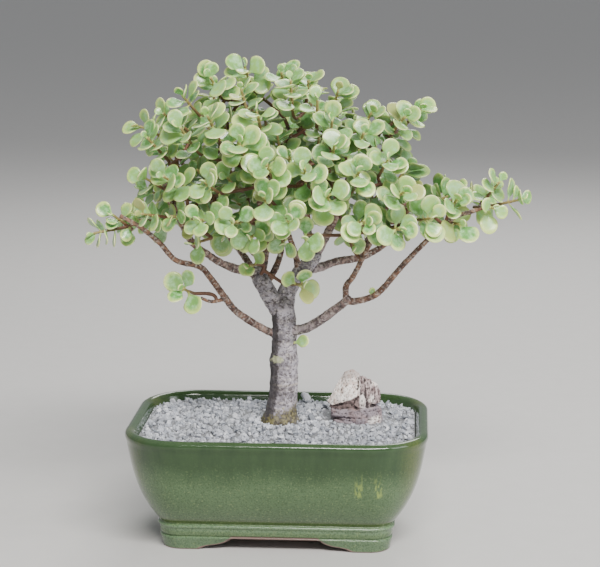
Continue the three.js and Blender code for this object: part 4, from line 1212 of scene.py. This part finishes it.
class Stem:
    """From a port to a shoot's tip."""

    def __init__(self, port, goal):
        reach = goal.foot - port.place
        sideways = reach - np.dot(reach, port.along) * port.along
        self.leave = port.along if port.is_end else unit(sideways)
        clear = port.radius + GAP + 0.05 if port.owner.is_wood else 0
        start = port.place + clear * self.leave
        bend = STEM_BEND * np.linalg.norm(reach)
        self.controls = (start, start + bend * self.leave, goal.foot - bend * goal.axis, goal.foot)
        self.points = np.vstack((bezier(self.controls, (0, 0.5, 1)), goal.tip))
        self.radii = np.full(len(self.points), STEM_RADIUS)
        self.goal = goal
        self.turn = 0
        self.fine = bezier(self.controls, np.linspace(1, 0, 21))
        self.run = run_along(self.fine)
        self.straight = np.linalg.norm(goal.tip - goal.foot)
        self.reach = self.straight + self.run[-1]

    def at(self, depth):
        """The stem's place and direction at a depth below its tip."""
        if depth <= self.straight + 1:
            return self.goal.tip - depth * self.goal.axis, self.goal.axis
        ends = (depth - self.straight, depth - self.straight - 1)
        below, above = (np.array([np.interp(end, self.run, axis) for axis in self.fine.T]) for end in ends)
        return below, unit(above - below)

    def is_clear(self, port, wood):
        first = self.points[1] - self.points[0]
        if first @ self.leave < LEAST_TURN * np.linalg.norm(first):
            return False
        shares = np.arange(STEM_TESTS)[:, None] / STEM_TESTS
        curve = [p + shares * (q - p) for p, q in zip(self.points, self.points[1:])]
        curve = np.vstack(curve + [self.points[-1:]])
        own = np.array([owner is port.owner for owner in wood.owner])
        room = wood.radius + STEM_RADIUS + STEM_CLEAR
        away = distances(wood.start, wood.end, curve) > room[:, None]
        just_left = np.linalg.norm(curve - port.place, axis=1) < port.radius + JUST_LEFT
        just_left[STEM_TESTS:] = False
        away |= own[:, None] & just_left[None]
        if not port.owner.is_wood:
            away[own] = True
        return bool(away.all())


def port_costs(ports, goal):
    reach = goal.foot - np.array([port.place for port in ports])
    length = np.linalg.norm(reach, axis=1)
    forward = np.einsum("pk,pk->p", reach, np.array([port.along for port in ports])) / (length + 1)
    crowded = np.array([WOOD_COST if port.owner.is_wood else 0 for port in ports])
    free_end = np.array([FREE_END_COST if port.is_end else 0 for port in ports])
    return length * (LENGTH_COST - FORWARD_GAIN * forward) + crowded + free_end


class Growth:
    """All stems and leaves grown so far, and the places that are still free."""

    def __init__(self, limbs):
        none = np.zeros((0, 3))
        self.wood = SimpleNamespace(start=none, end=none, radius=np.zeros(0), owner=[])
        self.ports = []
        self.sprays = []
        self.blades = []
        for i, limb in enumerate(limbs):
            self.add_wood(limb.points, limb.radii, limb)
            self.ports += ports_on(limb.points, limb.radii, limb, with_end=i >= FIRST_SIDE_LIMB)

    def add_wood(self, points, radii, owner):
        """Straight pieces of wood or stem that others keep clear of."""
        wood = self.wood
        wood.start = np.vstack((wood.start, points[:-1]))
        wood.end = np.vstack((wood.end, points[1:]))
        wood.radius = np.append(wood.radius, np.maximum(radii[:-1], radii[1:]))
        wood.owner += [owner] * (len(points) - 1)

    def grow(self, port, stem):
        if port.owner.is_wood:
            self.sprays.append(SimpleNamespace(is_wood=False, stems=[], leaves=[]))
        stem.spray = self.sprays[-1] if port.owner.is_wood else port.owner
        stem.spray.stems.append(stem)
        self.add_wood(stem.points, stem.radii, stem.spray)
        self.ports += ports_on(stem.points[:-1], stem.radii, stem.spray)
        for other in self.ports:
            other.used |= bool(np.linalg.norm(other.place - port.place) < USED_REACH)
        return stem

    def stems(self, shoots):
        """Grows every shoot's stem, the ones next to the wood first; stems that fork share a spray."""
        places = np.array([port.place for port in self.ports])
        queue = sorted(shoots, key=lambda goal: np.linalg.norm(places - goal.foot, axis=1).min())
        grown = []
        for goal in queue:
            ports = [port for port in self.ports if is_open(port)]
            order = np.argsort(port_costs(ports, goal), kind="stable")[:PORTS_TRIED]
            for port in (ports[i] for i in order):
                stem = Stem(port, goal)
                if stem.is_clear(port, self.wood):
                    grown.append(self.grow(port, stem))
                    break
        return grown

    def leaves(self, stems, pairs, seed, offset=None, clear=LEAF_CLEAR):
        """The leaves that find room on each stem; with an offset they keep to its first pair's turn."""
        wood = self.wood
        for stem in stems:
            seed += SEEDS_A_STEM
            tip = stem.goal.tip
            near = [blade for blade in self.blades if np.linalg.norm(blade.middle - tip) < NEAR_BLADES]
            keep = np.linalg.norm(wood.start - tip, axis=1) < NEAR_WOOD
            if offset is None:
                keep &= np.abs(wood.end - stem.points[-1]).max(axis=1) > 0
                first, step = math.pi * draw(seed), TURN_STEP
            else:
                keep &= ~(wood.start[:, None] == stem.points).all(axis=2).any(axis=1)
                first, step = stem.turn + offset, EXTRA_TURN_STEP
            segments = (wood.start[keep], wood.end[keep], wood.radius[keep])
            best = []
            for k in range(TURNS):
                turn = first + k * step
                kept = leaves_with_turn(stem, pairs, turn, seed, near, segments, clear)
                if len(kept) > len(best):
                    best = kept
                    if offset is None:
                        stem.turn = turn
            self.blades += best
            stem.spray.leaves += best


class Blade:
    """One leaf of a pair, standing off its shoot by an angle."""

    def __init__(self, place, axis, turn, lean, length):
        away = np.array((1.0, 0, 0) if abs(axis[0]) < 0.7 else (0, 1.0, 0))
        across = unit(np.cross(away, axis))
        out = math.cos(turn) * across + math.sin(turn) * np.cross(axis, across)
        self.along = math.sin(lean) * out + math.cos(lean) * axis
        self.up = math.sin(lean) * axis - math.cos(lean) * out
        self.side = np.cross(self.up, self.along)
        self.foot = place - LEAF_SUNK * self.along
        self.length = length
        self.middle = self.foot + length / 2 * self.along
        ways = np.vstack((length * self.along, length * self.side, self.up))
        self.samples = self.foot + SAMPLE_SHARES @ ways


WIDE_PART = (0.2, 0.97)


def half_width(share, length):
    shares, widths = zip(*LEAF_EDGE)
    return LEAF_WIDTH_SHARE * length / 2 * np.interp(share, shares, widths)


# Points spread over a blade: shares of its length along and aside, and the height over its middle
SAMPLE_SHARES = np.array([
    (share, side * half_width(share, 1), LEAF_CUP * side * side)
    for share in (0.3, 0.5, 0.7, 0.86, 0.97)
    for side in (-1, -0.5, 0, 0.5, 1)
], float)


def is_inside(blades, points, clear):
    """For each blade and each of its points, whether the point lies in it or too close."""
    foot, along, side, up, length = (
        np.array([getattr(blade, part) for blade in blades])
        for part in ("foot", "along", "side", "up", "length")
    )
    offset = points - foot[:, None]
    share = np.einsum("bpk,bk->bp", offset, along) / length[:, None]
    aside = np.einsum("bpk,bk->bp", offset, side)
    half = half_width(np.clip(share, *WIDE_PART), length[:, None])
    edge = LEAF_CUP * np.minimum(1, aside / (half + 0.1)) ** 2
    height = np.abs(np.einsum("bpk,bk->bp", offset, up) - edge)
    within = (share >= -0.05) & (share <= 1 + clear / length[:, None])
    return within & (np.abs(aside) <= half + clear) & (height < LEAF_THICK / 2 + clear)


def is_leaf_clear(blade, others, segments, clear):
    middles = np.array([other.middle for other in others]).reshape(-1, 3)
    reach = (blade.length + np.array([other.length for other in others])) / 2 + LEAF_MARGIN
    is_close = np.linalg.norm(middles - blade.middle, axis=1) <= reach
    close = [others[i] for i in np.flatnonzero(is_close)]
    if close:
        mine = np.broadcast_to(blade.samples, (len(close), *blade.samples.shape))
        theirs = np.vstack([other.samples for other in close])[None]
        if is_inside(close, mine, clear).any() or is_inside([blade], theirs, clear).any():
            return False
    start, end, radius = segments
    near = np.linalg.norm(start - blade.middle, axis=1) <= blade.length + LEAF_NEAR_WOOD
    away = distances(start[near], end[near], blade.samples) > (radius[near] + LEAF_OFF_WOOD)[:, None]
    return bool(away.all())


def leaves_with_turn(stem, pairs, turn, seed, near, segments, clear):
    kept = []
    for pair, (depth, size, spread_angle) in enumerate(pairs):
        if depth > stem.reach - LEAST_STEM_LEFT:
            continue
        place, axis = stem.at(depth)
        for half in (0, 1):
            own = seed + pair * 2 + half
            around = turn + pair * math.pi / 2 + half * math.pi + TURN_RANGE * (draw(own) - 0.5)
            share = LENGTH_SHARES[0] + LENGTH_SHARES[1] * draw(own + 0.5)
            length = stem.goal.leaf_length * size * share
            lean = spread_angle + LEAN_RANGE * (draw(own + 0.25) - 0.5)
            for tilt, scale in LEAF_TRIES:
                blade = Blade(place, axis, around, math.radians(lean + tilt), length * scale)
                if is_leaf_clear(blade, near + kept, segments, clear):
                    kept.append(blade)
                    break
    return kept


# Wood

WOOD_VOXEL = 0.72
WOOD_SMOOTHING = 5
LINE_STEP = 1.6
LIMB_SIDES = 20
LAST_TRUNK_NUMBER = 1
NEAR_LIMB = 12
# Swellings round the trunk: height, width and how far each stands out
TRUNK_RINGS = ((77, 4, 0.9), (104.5, 1.6, 0.35), (120.5, 3.0, 0.9), (92, 2.2, 0.3), (138, 2.5, 0.45))
# Radii of the thinnest twig and of wood that counts as old
TWIG, OLD_WOOD = 1.2, 7.2
# Relief of the bark: stretch, size of its bumps, octaves and offset
BARK_RELIEF = {
    "drift": ((1, 1, 1), 8.0, 2, 0.0), "rough": ((1, 1, 0.6), 3.4, 4, 11.0),
    "flutes": ((1, 1, 0.25), 7.5, 2, 47.0),
}
SCAR_BEAT = (5.5, 2.5)  # distance between leaf scars on a twig, and what old wood adds
SCAR = (0.5, 0.11)  # place and width as shares of the beat
GROOVE = (0.66, 0.06)
SCAR_SWELL = (0.24, 0.08)  # on a twig, and how much less on old wood
GROOVE_DEPTH = 0.10
ROUGH_SWELL = (0.12, 0.42)
FLUTE_SWELL = 0.9
LIMB_BEAT = 0.37  # how much the scars of each limb are shifted against the one before
DRIFT = 0.12
FORK_REACH = 0.6
BURIED = GRAVEL_LEVEL - 2
BURIED_SWELL = 0.2
PALE_LINE = (104.5, 0.7)  # height and width of a thin pale ring on the trunk
LICHEN_PLACE = np.array((-1.5, -8, 122.4), float)
LICHEN_REACH = (6, 6, 3)
BUDS = np.array(((1.2, 5.9, 199.5), (-0.2, 4.6, 192.5)))  # two pale dormant buds on a limb behind the fork
BUD_SPREAD = 1.6
CREASE = (0.12, 0.3)  # where painted shade in a crease begins, and how fast it grows
LEFT_SHADE = (-2.0, 5)  # how far left of the trunk's axis its painted shade begins, and its fade
MOSS = (1.15, 4.5, 12)  # cover at the foot, how much higher it climbs on the right, and its fade
EDGE = (0.7, 0.5, 0.25)  # share of a groove that is dark, how much less on old wood, and the least pit
OLD_SCAR = 0.6
PALE_LINE_SHARE = 1.6

BARK_NOISES = {
    "fine": (1100, 4, 0.7), "cloud": (150, 4, 0.6), "flecks": (520, 3, 0.65),
    "fissure": ((430, 430, 560), 4, 0.65),
}
# Young and old bark, pale flecks, scars, fissures, painted shade on the trunk's left side broken into dark
# speckles, dark grooves and pits with painted shade in the creases, moss, lichen and buds
BARK_LAYERS = (
    (1, (("cloud", 0.35, 0.65), (0.105, 0.042, 0.024), (0.37, 0.205, 0.130))),
    (1, (("cloud", 0.35, 0.65), (0.20, 0.180, 0.200), (0.56, 0.515, 0.575)), ("age", 0.10, 0.52)),
    (0.6, (0.74, 0.68, 0.64), ("flecks", 0.55, 0.63)),
    (0.5, (0.60, 0.52, 0.46), ("scar",)),
    (0.8, (0.050, 0.038, 0.040), ("fissure", 0.52, 0.38)),
    # Painted shade on the trunk's left side, broken into dark speckles
    (0.85, (0.042, 0.036, 0.038), ("blotch", 0.76, 1.02)),
    # Dark grooves and pits, and painted shade in the creases
    (0.7, (0.060, 0.040, 0.036), ("groove",)),
    (0.85, (("flecks", 0.42, 0.60), (0.040, 0.032, 0.014), (0.195, 0.172, 0.062)), ("mossy", 1.55, 1.95)),
    (0.75, (0.52, 0.54, 0.32), ("spotty", 1.25, 1.5)),
    (1, (0.78, 0.74, 0.70), ("bud", 0.3, 0.7)),
)


def bark_paint():
    paint = Paint("bark", {"Roughness": 0.8})
    levels = paint.noises(BARK_NOISES) | paint.data("bark", "age", "groove", "moss", "lichen")
    levels |= paint.data("marks", "scar", "left_shade", "bud")
    flecks = levels["flecks"]
    # Painted shade on the trunk's left side, broken up by the flecks
    levels["blotch"] = paint.total(levels["left_shade"], (flecks, 1.1))
    levels["mossy"] = paint.total(levels["moss"], (levels["cloud"], 0.9), (flecks, 1.5))
    levels["spotty"] = paint.total(levels["lichen"], (flecks, 1.6))
    paint.colour(paint.lay(BARK_LAYERS, levels))
    paint.bump(paint.total(levels["fissure"], (levels["fine"], 0.5)), distance=0.0008, strength=0.9)
    return paint.material


def smooth_line(points, radii, step):
    """A finer line and its radii through the given points, on a Catmull-Rom curve."""
    padded = np.vstack((2 * points[0] - points[1], points, 2 * points[-1] - points[-2]))
    line, sizes = [], []
    for i in range(len(points) - 1):
        a, b, c, d = padded[i:i + 4]
        count = max(2, int(np.linalg.norm(c - b) / step))
        for t in np.arange(count) / count:
            curve = 2 * b + (c - a) * t + (2 * a - 5 * b + 4 * c - d) * t**2 + (3 * b - a - 3 * c + d) * t**3
            line.append(0.5 * curve)
            sizes.append((1 - t) * radii[i] + t * radii[i + 1])
    return np.vstack((line, points[-1])), np.append(sizes, radii[-1])


def tube_rings(line, radii, sides):
    """Rings of a tube along a line, turning as little as they can."""
    tangents = np.gradient(line, axis=0)
    tangents /= np.linalg.norm(tangents, axis=1)[:, None]
    first = tangents[0]
    across = unit(np.cross((0, 0, 1) if abs(first[2]) < 0.9 else (1, 0, 0), first))
    angles = np.arange(sides) * 2 * math.pi / sides
    rings = []
    for point, along, radius in zip(line, tangents, radii):
        across = unit(across - np.dot(across, along) * along)
        up = np.cross(along, across)
        rings.append(point + radius * (np.outer(np.cos(angles), across) + np.outer(np.sin(angles), up)))
    return rings


def nearest_wood(points, lines):
    """For each point: how far along its nearest limb, that limb's radius, its axis point and number."""
    best = np.full(len(points), np.inf)
    found = np.zeros((len(points), 6))
    for number, (line, radii) in enumerate(lines):
        steps = np.linalg.norm(np.diff(line, axis=0), axis=1)
        run = run_along(line)
        low, high = line.min(0) - NEAR_LIMB, line.max(0) + NEAR_LIMB
        near = np.flatnonzero(((points > low) & (points < high)).all(1))
        for k in range(len(line) - 1):
            along = line[k + 1] - line[k]
            offset = points[near] - line[k]
            share = np.clip(offset @ along / (along @ along), 0, 1)
            axis = line[k] + share[:, None] * along
            radius = radii[k] + share * (radii[k + 1] - radii[k])
            away = np.linalg.norm(points[near] - axis, axis=1) - radius
            closer = away < best[near]
            spot = near[closer]
            best[spot] = away[closer]
            rows = np.column_stack((run[k] + share * steps[k], radius, axis, np.full(len(share), number)))
            found[spot] = rows[closer]
    return found


def wood_near(points, lines):
    """Where each point of the bark is on its limb, and which way it faces from the limb's axis."""
    found = nearest_wood(points, lines).T
    near = SimpleNamespace(run=found[0], radius=found[1], axis=found[2:5].T, number=found[5])
    near.trunk = near.number <= LAST_TRUNK_NUMBER
    out = points - near.axis
    near.away = np.linalg.norm(out, axis=1)
    near.out = out / np.maximum(near.away, 1e-6)[:, None]
    near.grown = np.clip((near.radius - TWIG) / (OLD_WOOD - TWIG), 0, 1)
    return near


def bark_swell(height, near, scar, groove, relief):
    """How far the bark stands out over scars, rings and flutes; the scars fade on the trunk."""
    swell = scar * (SCAR_SWELL[0] - SCAR_SWELL[1] * near.grown) - GROOVE_DEPTH * groove
    for ring, width, swelling in TRUNK_RINGS:
        swell += np.where(near.trunk, swelling * bell((height - ring) / width), 0)
    rough = relief["rough"] * (ROUGH_SWELL[0] + ROUGH_SWELL[1] * near.grown)
    swell += rough + relief["flutes"] * FLUTE_SWELL * near.grown
    buried = height < BURIED
    swell[buried] = np.minimum(swell[buried], BURIED_SWELL)
    return swell


def paint_bark(tree, points, near, scar, groove, rough):
    """What the bark's material reads at each point."""
    height = points[:, 2]
    cover, climb, fade = MOSS
    moss = np.clip(cover - (height - GRAVEL_LEVEL - 2 - climb * near.out[:, 0]) / fade, 0, 1)
    bud = np.exp(-np.min(np.sum((points[:, None] - BUDS) ** 2, axis=2), axis=1) / BUD_SPREAD)
    # Painted shade on the trunk's left side
    left_shade = np.clip((LEFT_SHADE[0] - near.out[:, 0] * near.away) / LEFT_SHADE[1], 0, 1) * near.trunk
    lichen = np.exp(-np.sum(((points - LICHEN_PLACE) / LICHEN_REACH) ** 2, axis=1))
    share, less, pit = EDGE
    edge = np.clip(share * groove * (1 - less * near.grown) + np.clip(-rough - pit, 0, 1), 0, 1)
    # Painted shade in the bark's creases
    edge = np.maximum(edge, np.clip((hollowness(tree) - CREASE[0]) / CREASE[1], 0, 1))
    paint_points(tree, "bark", near.grown, edge, moss, lichen)
    line = np.where(near.trunk, bell((height - PALE_LINE[0]) / PALE_LINE[1]), 0)
    pale = np.maximum(scar * (1 - OLD_SCAR * near.grown), PALE_LINE_SHARE * line)
    paint_points(tree, "marks", pale, left_shade, bud, np.ones(len(points)))


def make_wood(wood):
    lines = [smooth_line(limb.points, limb.radii, LINE_STEP) for limb in wood]
    limbs = [mesh_of("limb", *loft(tube_rings(line, radii, LIMB_SIDES))) for line, radii in lines]
    tree = joined_mesh("bark_wood", limbs)
    remesh(tree, WOOD_VOXEL, WOOD_SMOOTHING)
    points, normals = points_of(tree)
    near = wood_near(points, lines)
    relief = {name: roughness_at(points, *values) for name, values in BARK_RELIEF.items()}
    beat = near.run / (SCAR_BEAT[0] + SCAR_BEAT[1] * near.grown)
    beat = beat + near.number * LIMB_BEAT + DRIFT * relief["drift"]
    scar, groove = (bell(((beat % 1) - place) / width) for place, width in (SCAR, GROOVE))
    swell = bark_swell(points[:, 2], near, scar, groove, relief)
    moved = near.axis + near.out * (np.maximum(near.away, near.radius) + swell)[:, None]
    in_fork = near.away > near.radius + FORK_REACH
    move_points(tree, np.where(in_fork[:, None], points + normals * swell[:, None], moved))
    paint_bark(tree, points, near, scar, groove, relief["rough"])
    tree.data.materials.clear()
    tree.data.materials.append(bark_paint())
    finish(tree, "bark", "trunk_and_limbs")


# Leafy sprays

LEAF_SHARES = (
    0, 0.06, 0.11, 0.16, 0.22, 0.29, 0.37, 0.46, 0.55, 0.64, 0.72, 0.79, 0.85, 0.9, 0.94, 0.968, 0.986, 0.997,
)
LEAF_AROUND = 13
STALK_SHARE = 0.08
STALK_HALF = 0.85
LATE_POWER = 1.32  # over 1 sets the widest part nearer the tip
BASE_SHARE = 0.56  # where the leaf's base has grown full, and how roundly it does
BASE_POWER = 0.68
TIP_SHARES = (0.9, 0.1)  # where the tip's rounding begins, and its length
RIM_POWER = 0.92  # under 1 makes the leaf's rim round and full
LEAF_TWIST = 0.3
# Drawn for each leaf: least width and cup as shares, and what the draw adds
HALF_DRAW = (0.83, 0.25)
CUP_DRAW = (0.6, 0.6)
FULL_CUP_LENGTH = 15
BEND = (0.42, 2.2)
FOLD = (-0.35, 0.9, 0.85)  # depth, width and end of the fold along the middle
WAVE = (0.25, 7, 6)  # height, how fast it runs along the leaf, and how much it is shifted
THICKNESS = (0.86, 0.2)
FULLNESS = (0.55, 0.45, 1.4)
LEAST_TIP = 0.1
TIP_BULGE = 0.1
STALK_TAPER = 0.4
NEAR_RIM = (0.98, 0.55, 0.45)  # weight across, and the middle and half of the length
OLD_LEAVES_PLACE = np.array((-94, -48, 232), float)  # yellow leaves near the left tip
OLD_LEAVES_REACH = 10
# Where the painted shade inside the crown begins and ends, as shares of its half sizes, and its lowest height
# and fade
SHADE = (0.9, 0.3)
SHADE_FOOT = (204, 14)

CURVE_RINGS = 12
TIP_RINGS = 14
FIRST_TIP_SHARE = 0.08
STEM_SIDES = 8
STEM_FOOT_RADIUS = STEM_RADIUS * 1.05
STEM_TIP_RADIUS = 0.75
STEM_TAPER = 1.5
STEM_ROOT = 1.3  # how far the foot of a stem on the wood reaches into the bark
# Swellings of a stem: distance from one to the next, place below it, width and height as a share
JOINTS = (6.6, 1.0, 0.7, 0.16)
FRESH = (0.45, 0.5)  # share of a stem where it turns green, and over how much
# A leaf on the trunk and a tiny one on the right limb: where each leaves the bark, which way it grows,
# which way it faces, and its length
LONE_LEAVES = (
    ((9.4, -4.8, 133.6), (0.93, -0.25, 0.22), (-0.1, -0.8, 0.6), 12.5),
    ((62.4, -21.6, 170.6), (0.15, -0.3, 0.94), (0.2, -0.95, -0.2), 7),
)
# Seeds of the draws: the steps from one spray to the next, and the lone leaves' first
STEM_SEEDS, LEAF_SEEDS, LONE_SEED = 7, 41, 88.3

LEAF_SHINE = {
    "Coat Weight": 0.5, "Coat Roughness": 0.16, "Subsurface Weight": 0.12,
    "Subsurface Radius": (0.6, 1.0, 0.35), "Subsurface Scale": 0.0015,
}
LEAF_NOISES = {"blotch": (260, 3, 0.6), "fine": (900, 2, 0.6)}
# Green, grey green patches, yellow margin, cream rim, stalk, old leaves and painted shade inside the crown
LEAF_LAYERS = (
    (1, (("own",), (0.120, 0.345, 0.075), (0.370, 0.610, 0.160))),
    (1, (("fine",), (0.30, 0.57, 0.250), (0.41, 0.68, 0.345)), ("blotch", 0.40, 0.68)),
    (1, (0.61, 0.77, 0.22), ("margin",)),
    (1, (0.88, 0.90, 0.50), ("border", 0.93, 1.05)),
    (1, (0.42, 0.40, 0.10), ("along", 0.24, 0.04)),
    (0.75, (0.50, 0.48, 0.16), ("own", 0.955, 0.99)),
    # Painted shade on leaves inside the crown
    (0.60, (0.045, 0.125, 0.035), ("painted_shade",)),
)
# Brown stem, and its fresh tip
STEM_LAYERS = (
    (1, (("cloud",), (0.080, 0.032, 0.020), (0.240, 0.115, 0.065))),
    (1, (("cloud",), (0.26, 0.25, 0.07), (0.36, 0.24, 0.11)), ("green",)),
)


def leaf_paint():
    paint = Paint("variegated_leaf", LEAF_SHINE)
    levels = paint.noises(LEAF_NOISES) | paint.data("leaf", "rim", "along", "own", "painted_shade")
    blotch = levels["blotch"]
    levels["border"] = paint.total(levels["rim"], (paint.math("SUBTRACT", blotch, 0.5), 0.42))
    other = paint.math("FRACT", paint.math("MULTIPLY", levels["own"], 7.3))
    inside = paint.math("SUBTRACT", levels["border"], paint.total(0.50, (other, 0.28)))
    levels["margin"] = paint.math("DIVIDE", inside, 0.34, clamp=True)
    paint.colour(paint.lay(LEAF_LAYERS, levels))
    paint.rough(paint.total(0.22, (blotch, 0.22)))
    paint.bump(paint.total(blotch, (levels["fine"], 0.3)), distance=0.0003, strength=0.5)
    return paint.material


def stem_paint():
    paint = Paint("young_stem", {"Roughness": 0.5})
    levels = paint.data("leaf", "green") | {"cloud": paint.noise(300, 3)}
    paint.colour(paint.lay(STEM_LAYERS, levels))
    paint.bump(paint.noise(1200, 3), distance=0.0003, strength=0.6)
    return paint.material


def leaf_template():
    """For each point of a leaf: share of its length, width, tip, side and height of its skin."""
    shares = np.array(LEAF_SHARES)
    blade = np.clip((shares - STALK_SHARE) / (1 - STALK_SHARE), 0, 1)
    late = blade**LATE_POWER
    oval = np.sqrt(np.maximum(1 - (2 * late - 1) ** 2, 0))
    rise = np.clip(blade / BASE_SHARE, 0, 1)
    oval *= (rise * rise * (3 - 2 * rise)) ** BASE_POWER
    tip = np.sqrt(np.clip(1 - ((shares - TIP_SHARES[0]) / TIP_SHARES[1]).clip(0, 1) ** 2, 0, 1))
    angles = np.arange(LEAF_AROUND) * 2 * math.pi / LEAF_AROUND
    side, skin = (np.sign(wave) * np.abs(wave) ** RIM_POWER for wave in (np.cos(angles), np.sin(angles)))
    rows = [np.repeat(values, LEAF_AROUND) for values in (shares, oval, tip)]
    return *rows, np.tile(side, len(shares)), np.tile(skin, len(shares))


TEMPLATE = leaf_template()


def shade_at(place):
    """How much painted shade a leaf gets at a place inside the crown: 0 at its skin and under it, 1 well
    inside.
    """
    reach = np.linalg.norm((place - CANOPY_MIDDLE) / CANOPY_HALF)
    inside = np.clip((SHADE[0] - reach) / SHADE[1], 0, 1)
    return inside * np.clip((place[2] - SHADE_FOOT[0]) / SHADE_FOOT[1], 0, 1)


def leaf_heights(blade, seed, aside, half):
    """How high each point of a leaf stands over its middle plane."""
    share, oval, tip, _, skin = TEMPLATE
    full = FULLNESS[0] + FULLNESS[1] * np.clip(oval * FULLNESS[2], 0, 1)
    thick = LEAF_THICK * (THICKNESS[0] - THICKNESS[1] * share) * full * np.maximum(tip, LEAST_TIP)
    cupped = CUP_DRAW[0] + CUP_DRAW[1] * draw(seed + 0.2)
    cup = LEAF_CUP * cupped * min(1, blade.length / FULL_CUP_LENGTH) * (aside / half) ** 2
    bend = (draw(seed + 0.3) - BEND[0]) * BEND[1] * share**2
    depth, width, end = FOLD
    fold = depth * bell(aside / width) * np.sin(math.pi * np.clip(share / end, 0, 1)) * (skin > 0)
    wave = WAVE[0] * np.sin(share * WAVE[1] + WAVE[2] * draw(seed + 0.4)) * aside / half
    return skin * thick / 2 + cup + bend + fold + wave


def leaf_mesh(blade, seed):
    """Points, faces and paint of one plump leaf, cupped, with its tip bent a little."""
    share, oval, tip, side, _ = TEMPLATE
    half = LEAF_WIDTH_SHARE * blade.length / 2 * (HALF_DRAW[0] + HALF_DRAW[1] * draw(seed + 0.1))
    aside = np.maximum(half * oval, STALK_HALF * (1 - STALK_TAPER * share) * tip) * side
    height = leaf_heights(blade, seed, aside, half)
    twist = LEAF_TWIST * (2 * draw(seed + 0.7) - 1)
    across = math.cos(twist) * blade.side + math.sin(twist) * blade.up
    upward = math.cos(twist) * blade.up - math.sin(twist) * blade.side
    along = (share * blade.length)[:, None] * blade.along
    points = blade.foot + along + aside[:, None] * across + height[:, None] * upward
    points, faces = loft(points.reshape(len(LEAF_SHARES), LEAF_AROUND, 3))
    points[-1] += TIP_BULGE * blade.along
    rim = np.clip(np.hypot(aside / half * NEAR_RIM[0], (share - NEAR_RIM[1]) / NEAR_RIM[2]), 0, 1)
    ones = np.ones(len(rim))
    is_old = np.linalg.norm(blade.middle - OLD_LEAVES_PLACE) < OLD_LEAVES_REACH
    own = 1.0 if is_old else draw(seed + 0.6)
    # Painted shade for a leaf inside the crown
    painted_shade = shade_at(blade.middle)
    paint = np.column_stack((rim, share, own * ones, painted_shade * ones))
    return points, faces, np.vstack((paint, (1, 0, own, painted_shade), (1, 1, own, painted_shade)))


def stem_mesh(stem, seed, on_wood):
    """A leafy stem with a swelling at each pair of leaves."""
    goal = stem.goal
    curve = bezier(stem.controls, np.linspace(0, 1, CURVE_RINGS))
    if on_wood:
        curve = np.vstack((curve[0] - STEM_ROOT * stem.leave, curve))
    shares = np.linspace(FIRST_TIP_SHARE, 1, TIP_RINGS)
    line = np.vstack((curve, goal.foot + (goal.tip - goal.foot) * shares[:, None]))
    run = run_along(line)
    share = run / run[-1]
    radii = STEM_FOOT_RADIUS + (STEM_TIP_RADIUS - STEM_FOOT_RADIUS) * share**STEM_TAPER
    beat, place, width, swelling = JOINTS
    radii = radii * (1 + swelling * bell(((run[-1] - run) % beat - place) / width))
    points, faces = loft(tube_rings(line, radii, STEM_SIDES))
    green = np.clip((share - FRESH[0]) / FRESH[1], 0, 1)
    paint = np.column_stack((green, share, np.full(len(run), draw(seed)), np.ones(len(run))))
    paint = np.repeat(paint, STEM_SIDES, 0)
    return points, faces, np.vstack((paint, paint[0], paint[-1]))


def spray_object(number, spray, materials):
    stems = [stem_mesh(stem, number * STEM_SEEDS + i, i == 0) for i, stem in enumerate(spray.stems)]
    leaves = [leaf_mesh(blade, number * LEAF_SEEDS + i) for i, blade in enumerate(spray.leaves)]
    points, faces, paint, origin = joined(stems + leaves)
    thing = new_object(f"leafy_spray_{number:02d}", points, faces, *materials)
    thing.data.polygons.foreach_set("material_index", (origin < len(stems)).astype(np.int32))
    paint_points(thing, "leaf", paint)
    return thing


def make_lone_leaves(paint):
    leaves = []
    for number, (foot, along, up, length) in enumerate(LONE_LEAVES):
        blade = Blade(np.array(foot), unit(np.array(along)), 0, 0, length)
        blade.up = unit(np.array(up) - np.dot(up, blade.along) * blade.along)
        blade.side = np.cross(blade.up, blade.along)
        leaves.append(leaf_mesh(blade, LONE_SEED + number))
    points, faces, levels, _ = joined(leaves)
    thing = new_object("lone_leaves", points, faces, paint)
    paint_points(thing, "leaf", levels)
    finish(thing, "variegated_leaf")


def make_sprays(wood):
    growth = Growth(wood)
    seen = [make_shoot(*shoot) for shoot in FRONT_SHOOTS]
    outer = seen + shell_shoots(BACK_SHOOTS, seen)
    inner = shell_shoots(INNER_SHOOTS, outer)
    outer_stems = growth.stems(outer)
    inner_stems = growth.stems(inner)
    growth.leaves(outer_stems, OUTER_PAIRS, OUTER_SEED)
    growth.leaves(inner_stems, INNER_PAIRS, INNER_SEED)
    for stems, extra, seed in (
        (outer_stems, OUTER_EXTRA, OUTER_EXTRA_SEED), (inner_stems, INNER_EXTRA, INNER_EXTRA_SEED),
    ):
        full = [stem for stem in stems if stem.goal.tip[2] + VIEW_SLOPE * stem.goal.tip[1] > SPARSE_BELOW]
        for i, (pairs, offset, clear) in enumerate(extra):
            growth.leaves(full if i else stems, pairs, seed + offset, math.radians(offset), clear)
    materials = (leaf_paint(), stem_paint())
    for number, spray in enumerate(growth.sprays, 1):
        finish(spray_object(number, spray, materials), "variegated_leaf", f"spray_{number:02d}")
    make_lone_leaves(materials[0])


# Assembly

make_camera()
make_lights()
make_floor()
make_pot()
paint_hidden_nodes()
make_gravel()
make_stone()
grown_wood = [make_limb(*limb) for limb in LIMBS]
make_wood(grown_wood)
make_sprays(grown_wood)
